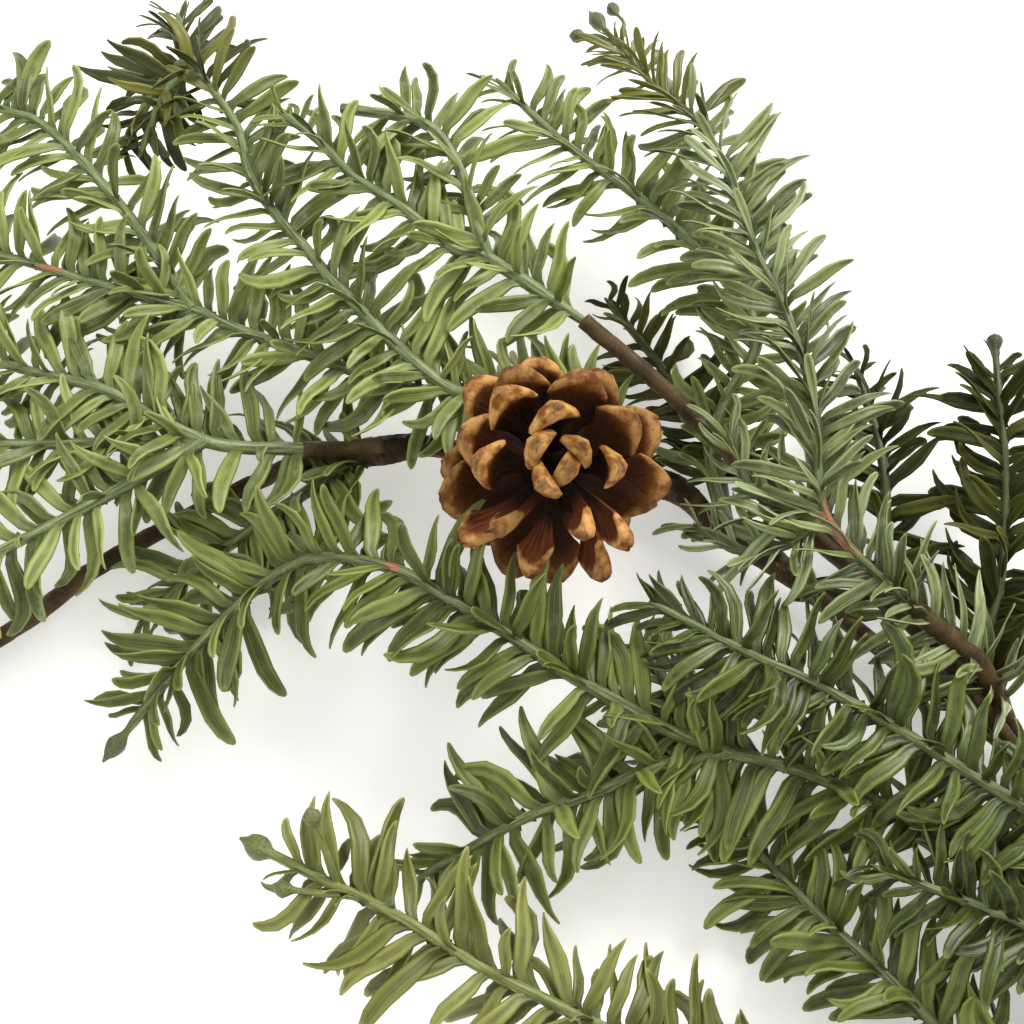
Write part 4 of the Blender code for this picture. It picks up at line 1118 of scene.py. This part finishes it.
# A tube along a path, with its own radius at each lap and ring.
def tubeMesh(path, radiusAt, corners, lapLength, finish):
    points, uv, gone = [], [], 0.0
    for k, place in enumerate(path):
        way = (path[min(k + 1, len(path) - 1)] - path[max(k - 1, 0)]).normalized()
        side = way.cross(upward)
        side = side.normalized() if side.length > 0.1 else way.cross(Vector((0, 1, 0))).normalized()
        high = side.cross(way)
        if k:
            gone += (place - path[k - 1]).length
        for c in range(corners):
            turn = 2 * pi * c / corners
            reach = radiusAt(turn, gone)
            points.append(placed(place + (side * cos(turn) + high * sin(turn)) * reach))
            uv.append((c / corners, gone / lapLength))
    mesh = loft("tube", points, corners, uvName="tapeUv", uv=uv, wrapped=True)
    mesh.materials.append(paints[finish])
    return mesh


tape = {"lap": 11.0, "sunk": 0.2, "ridge": 0.22, "wobble": 0.3, "corners": 20, "step": 0.9}


# One wrap after another: each rises slowly to a ridge and falls steeply at the tape's edge.
def ridged(wrap, fall):
    return wrap ** 2 * min(1, (1 - wrap) / fall)


def tapedTube(path, radius):
    def at(turn, gone):
        wrap = (gone / tape["lap"] + turn / (2 * pi)) % 1
        bump = noise.noise(Vector((cos(turn) * 1.2, sin(turn) * 1.2, gone * 0.12))) * tape["wobble"]
        return radius - tape["sunk"] + tape["ridge"] * ridged(wrap, 0.06) + bump
    return tubeMesh(evenly(path, tape["step"]), at, tape["corners"], tape["lap"], "tape")


ends = [end + (end - inside).normalized() * stem["wireProud"]
        for end, inside in ((stemPath[0], stemPath[3]), (stemPath[-1], stemPath[-4]))]
wireLine = evenly([ends[0]] + stemPath + [ends[1]], stem["wireStep"])
showPiece("stem_paper_tape", tapedTube(stemPath, stem["tapeRadius"]))
showPiece("stem_core_wire", tubeMesh(wireLine, lambda turn, gone: stem["wireRadius"], stem["wireCorners"],
                                     stem["wireLap"], "wire"))
showPiece("long_taped_stem", tapedTube(longStemPath(), longStem["radius"]))

# Windings where roots are bound on: the tape is drawn tight round the stem and the roots together.
winding = {"half": 9.0, "tail": 22.0, "wall": 0.3, "slack": 0.1, "corners": 36, "rings": 35, "lap": 8.0,
           "ridge": 0.14, "wobble": 0.25, "slant": 3.0}
tangentTurns = [radians(g) for g in range(-80, 81, 8)]


def windingMesh(x, roots):
    points, uv = [], []
    span = winding["half"] + winding["tail"]
    for k in range(winding["rings"]):
        slide = winding["half"] - span * k / (winding["rings"] - 1)
        laps = k / (winding["rings"] - 1) * span / winding["lap"]
        middle, tangent, side, up = stemFrame(x - slide)
        # Before its root's end the tape runs down on to the stem again.
        present = min(1, max(0, (slide + winding["tail"]) / (winding["tail"] - stem["rootInBand"])))
        discs = [(Vector((0, 0)), stem["tapeRadius"] + winding["slack"])]
        for angle, radius in roots:
            turn = radians(angle)
            reach = (stem["tapeRadius"] + stem["rootGap"] + radius) * present
            discs.append((Vector((sin(turn), cos(turn))) * reach, radius + winding["slack"]))
        centre = sum((d[0] for d in discs), Vector((0, 0))) / len(discs)
        closing = max(0, slide) / winding["half"] + max(0, -slide) / winding["tail"]
        for c in range(winding["corners"]):
            turn = 2 * pi * c / winding["corners"]
            ray = Vector((cos(turn), sin(turn)))
            # The tight loop's distance along this ray, from the outermost of its tangent lines.
            reach = min(max((d - centre).dot(n) + r for d, r in discs) / max(ray.dot(n), 1e-3)
                        for n in (Vector((cos(turn + s), sin(turn + s))) for s in tangentTurns))
            ridge = winding["ridge"] * (ridged((laps + turn / (2 * pi)) % 1, 0.1) - 0.3)
            reach += winding["wall"] * (1 - closing ** 3) + ridge * (1 - closing ** 3)
            reach += winding["wobble"] * noise.noise(Vector((ray.x * 2, ray.y * 2, k * 0.5 + x)))
            at = centre + ray * reach
            slant = tangent * (winding["slant"] * sin(turn) * closing)      # the last wrap lies askew
            points.append(placed(middle + side * at.x + up * at.y + slant))
            uv.append((c / winding["corners"], laps))
    mesh = loft("winding", points, winding["corners"], uvName="tapeUv", uv=uv, wrapped=True)
    mesh.materials.append(paints["tape"])
    return mesh


joins = {}
for spray in sprays.values():
    if spray["join"]:
        joins.setdefault(spray["join"][0], []).append((spray["join"][1], stem["rootRadius"]))
joins[longStem["join"][0]].append((longStem["join"][1], longStem["radius"]))
# Two roots are taped on along the whole of their lower length.
tapedRoots = [{"spray": "spray_right_back", "from": 14.0, "radius": 3.2, "end": 106.0},
              {"spray": "spray_left", "from": 1.0, "radius": 2.7, "end": -62.0}]


def joinMeshes(first, second):
    bm = bmesh.new()
    bm.from_mesh(first)
    bm.from_mesh(second)
    bm.to_mesh(first)
    bm.free()
    bpy.data.meshes.remove(second)


for number, (x, roots) in enumerate(sorted(joins.items()), 1):
    band = windingMesh(x, roots)
    for root in tapedRoots:
        spray = sprays[root["spray"]]
        if x == spray["join"][0]:
            path = [p for k, p in enumerate(twigPaths(spray)[0][0])
                    if p.x > root["end"] and k * twig["step"] > root["from"]]
            joinMeshes(band, tapedTube(path, root["radius"]))
    showPiece(f"tape_band_{number}", band)
print("stem, wire and", len(joins), "windings built")

tie = {"radius": 0.45, "gap": 0.3, "pitch": 2.0, "stubPitch": 2.4, "stubRise": 1.0, "cadHalf": 26.0, "cadStub": 7.0,
       "stepsInLap": 16, "stemPoints": 33, "stubPoints": 23, "corners": 8, "lap": 4.0}


# Laps round an axis: for each point its lap number and its two sides, cosine and sine.
def lapsOf(count):
    laps = [k / tie["stepsInLap"] for k in range(count)]
    return [(lap, cos(2 * pi * lap), sin(2 * pi * lap)) for lap in laps]


for row in cones.values():
    middle, tip, turn = conePlace(row)
    stubEnd = middle - tip * (tie["cadHalf"] + tie["cadStub"])
    foot, alongStem, side, up = stemFrame(row["at"])
    reach = stem["tapeRadius"] + tie["gap"] + tie["radius"]
    path = [foot + alongStem * (lap - 1) * tie["pitch"] + reach * (c * up + s * side)
            for lap, c, s in lapsOf(tie["stemPoints"])]
    reach = cone["stubRadius"] + tie["gap"] + tie["radius"]
    path += [stubEnd + turn @ Vector((c * reach, s * reach, tie["stubRise"] + lap * tie["stubPitch"]))
             for lap, c, s in lapsOf(tie["stubPoints"])]
    showPiece(row["tie"], tubeMesh(path, lambda turn, gone: tie["radius"], tie["corners"], tie["lap"], "tie"))

tableHalf = 4
floorMesh = bpy.data.meshes.new("tableTop")
floorMesh.from_pydata([(x * tableHalf, y * tableHalf, 0) for x, y in ((-1, -1), (1, -1), (1, 1), (-1, 1))], [],
                      [(0, 1, 2, 3)])
floorMesh.materials.append(tableFinish())
floor = newPiece("tableTop", floorMesh)

world = bpy.data.worlds.new("softRoom")
bpy.context.scene.world = world
world.use_nodes = True
world.node_tree.nodes.clear()
w = Bench(world.node_tree)
glow = w.make("ShaderNodeBackground", {}, {"Color": (1.0, 0.992, 0.965, 1), "Strength": 0.66})
w.make("ShaderNodeOutputWorld", {}, {"Surface": glow})

# Lamps: name, place, size, power, colour. Each one points at the cone.
lamps = [("windowLight", (0.75, 0.95, 1.25), 0.9, 26, (1.0, 0.985, 0.95)),
         ("roomFill", (-1.3, -0.6, 1.3), 1.6, 9, (0.95, 0.98, 1.0))]
lampAim = Vector((0, 0, 0.03))
for name, place, size, power, colour in lamps:
    light = bpy.data.lights.new(name, "AREA")
    light.size = size
    light.energy = power
    light.color = colour
    lamp = bpy.data.objects.new(name, light)
    lamp.location = place
    lamp.rotation_euler = (lampAim - Vector(place)).to_track_quat("-Z", "Y").to_euler()
    bpy.context.scene.collection.objects.link(lamp)

view = {"aim": (0, 0, 35), "rise": 66.0, "distance": 0.42, "lens": 52.0}
lens = bpy.data.cameras.new("tableView")
lens.lens = view["lens"]
camera = bpy.data.objects.new("tableView", lens)
climb = radians(view["rise"])
camera.location = placed(view["aim"]) + Vector((0, -cos(climb), sin(climb))) * view["distance"]
camera.rotation_euler = (pi / 2 - climb, 0, 0)
bpy.context.scene.collection.objects.link(camera)
bpy.context.scene.camera = camera
bpy.context.scene.view_settings.view_transform = "Standard"

for kinds in (needleKinds, scaleKinds):
    for kind in list(kinds.objects):
        bpy.data.objects.remove(kind)
    bpy.data.collections.remove(kinds)
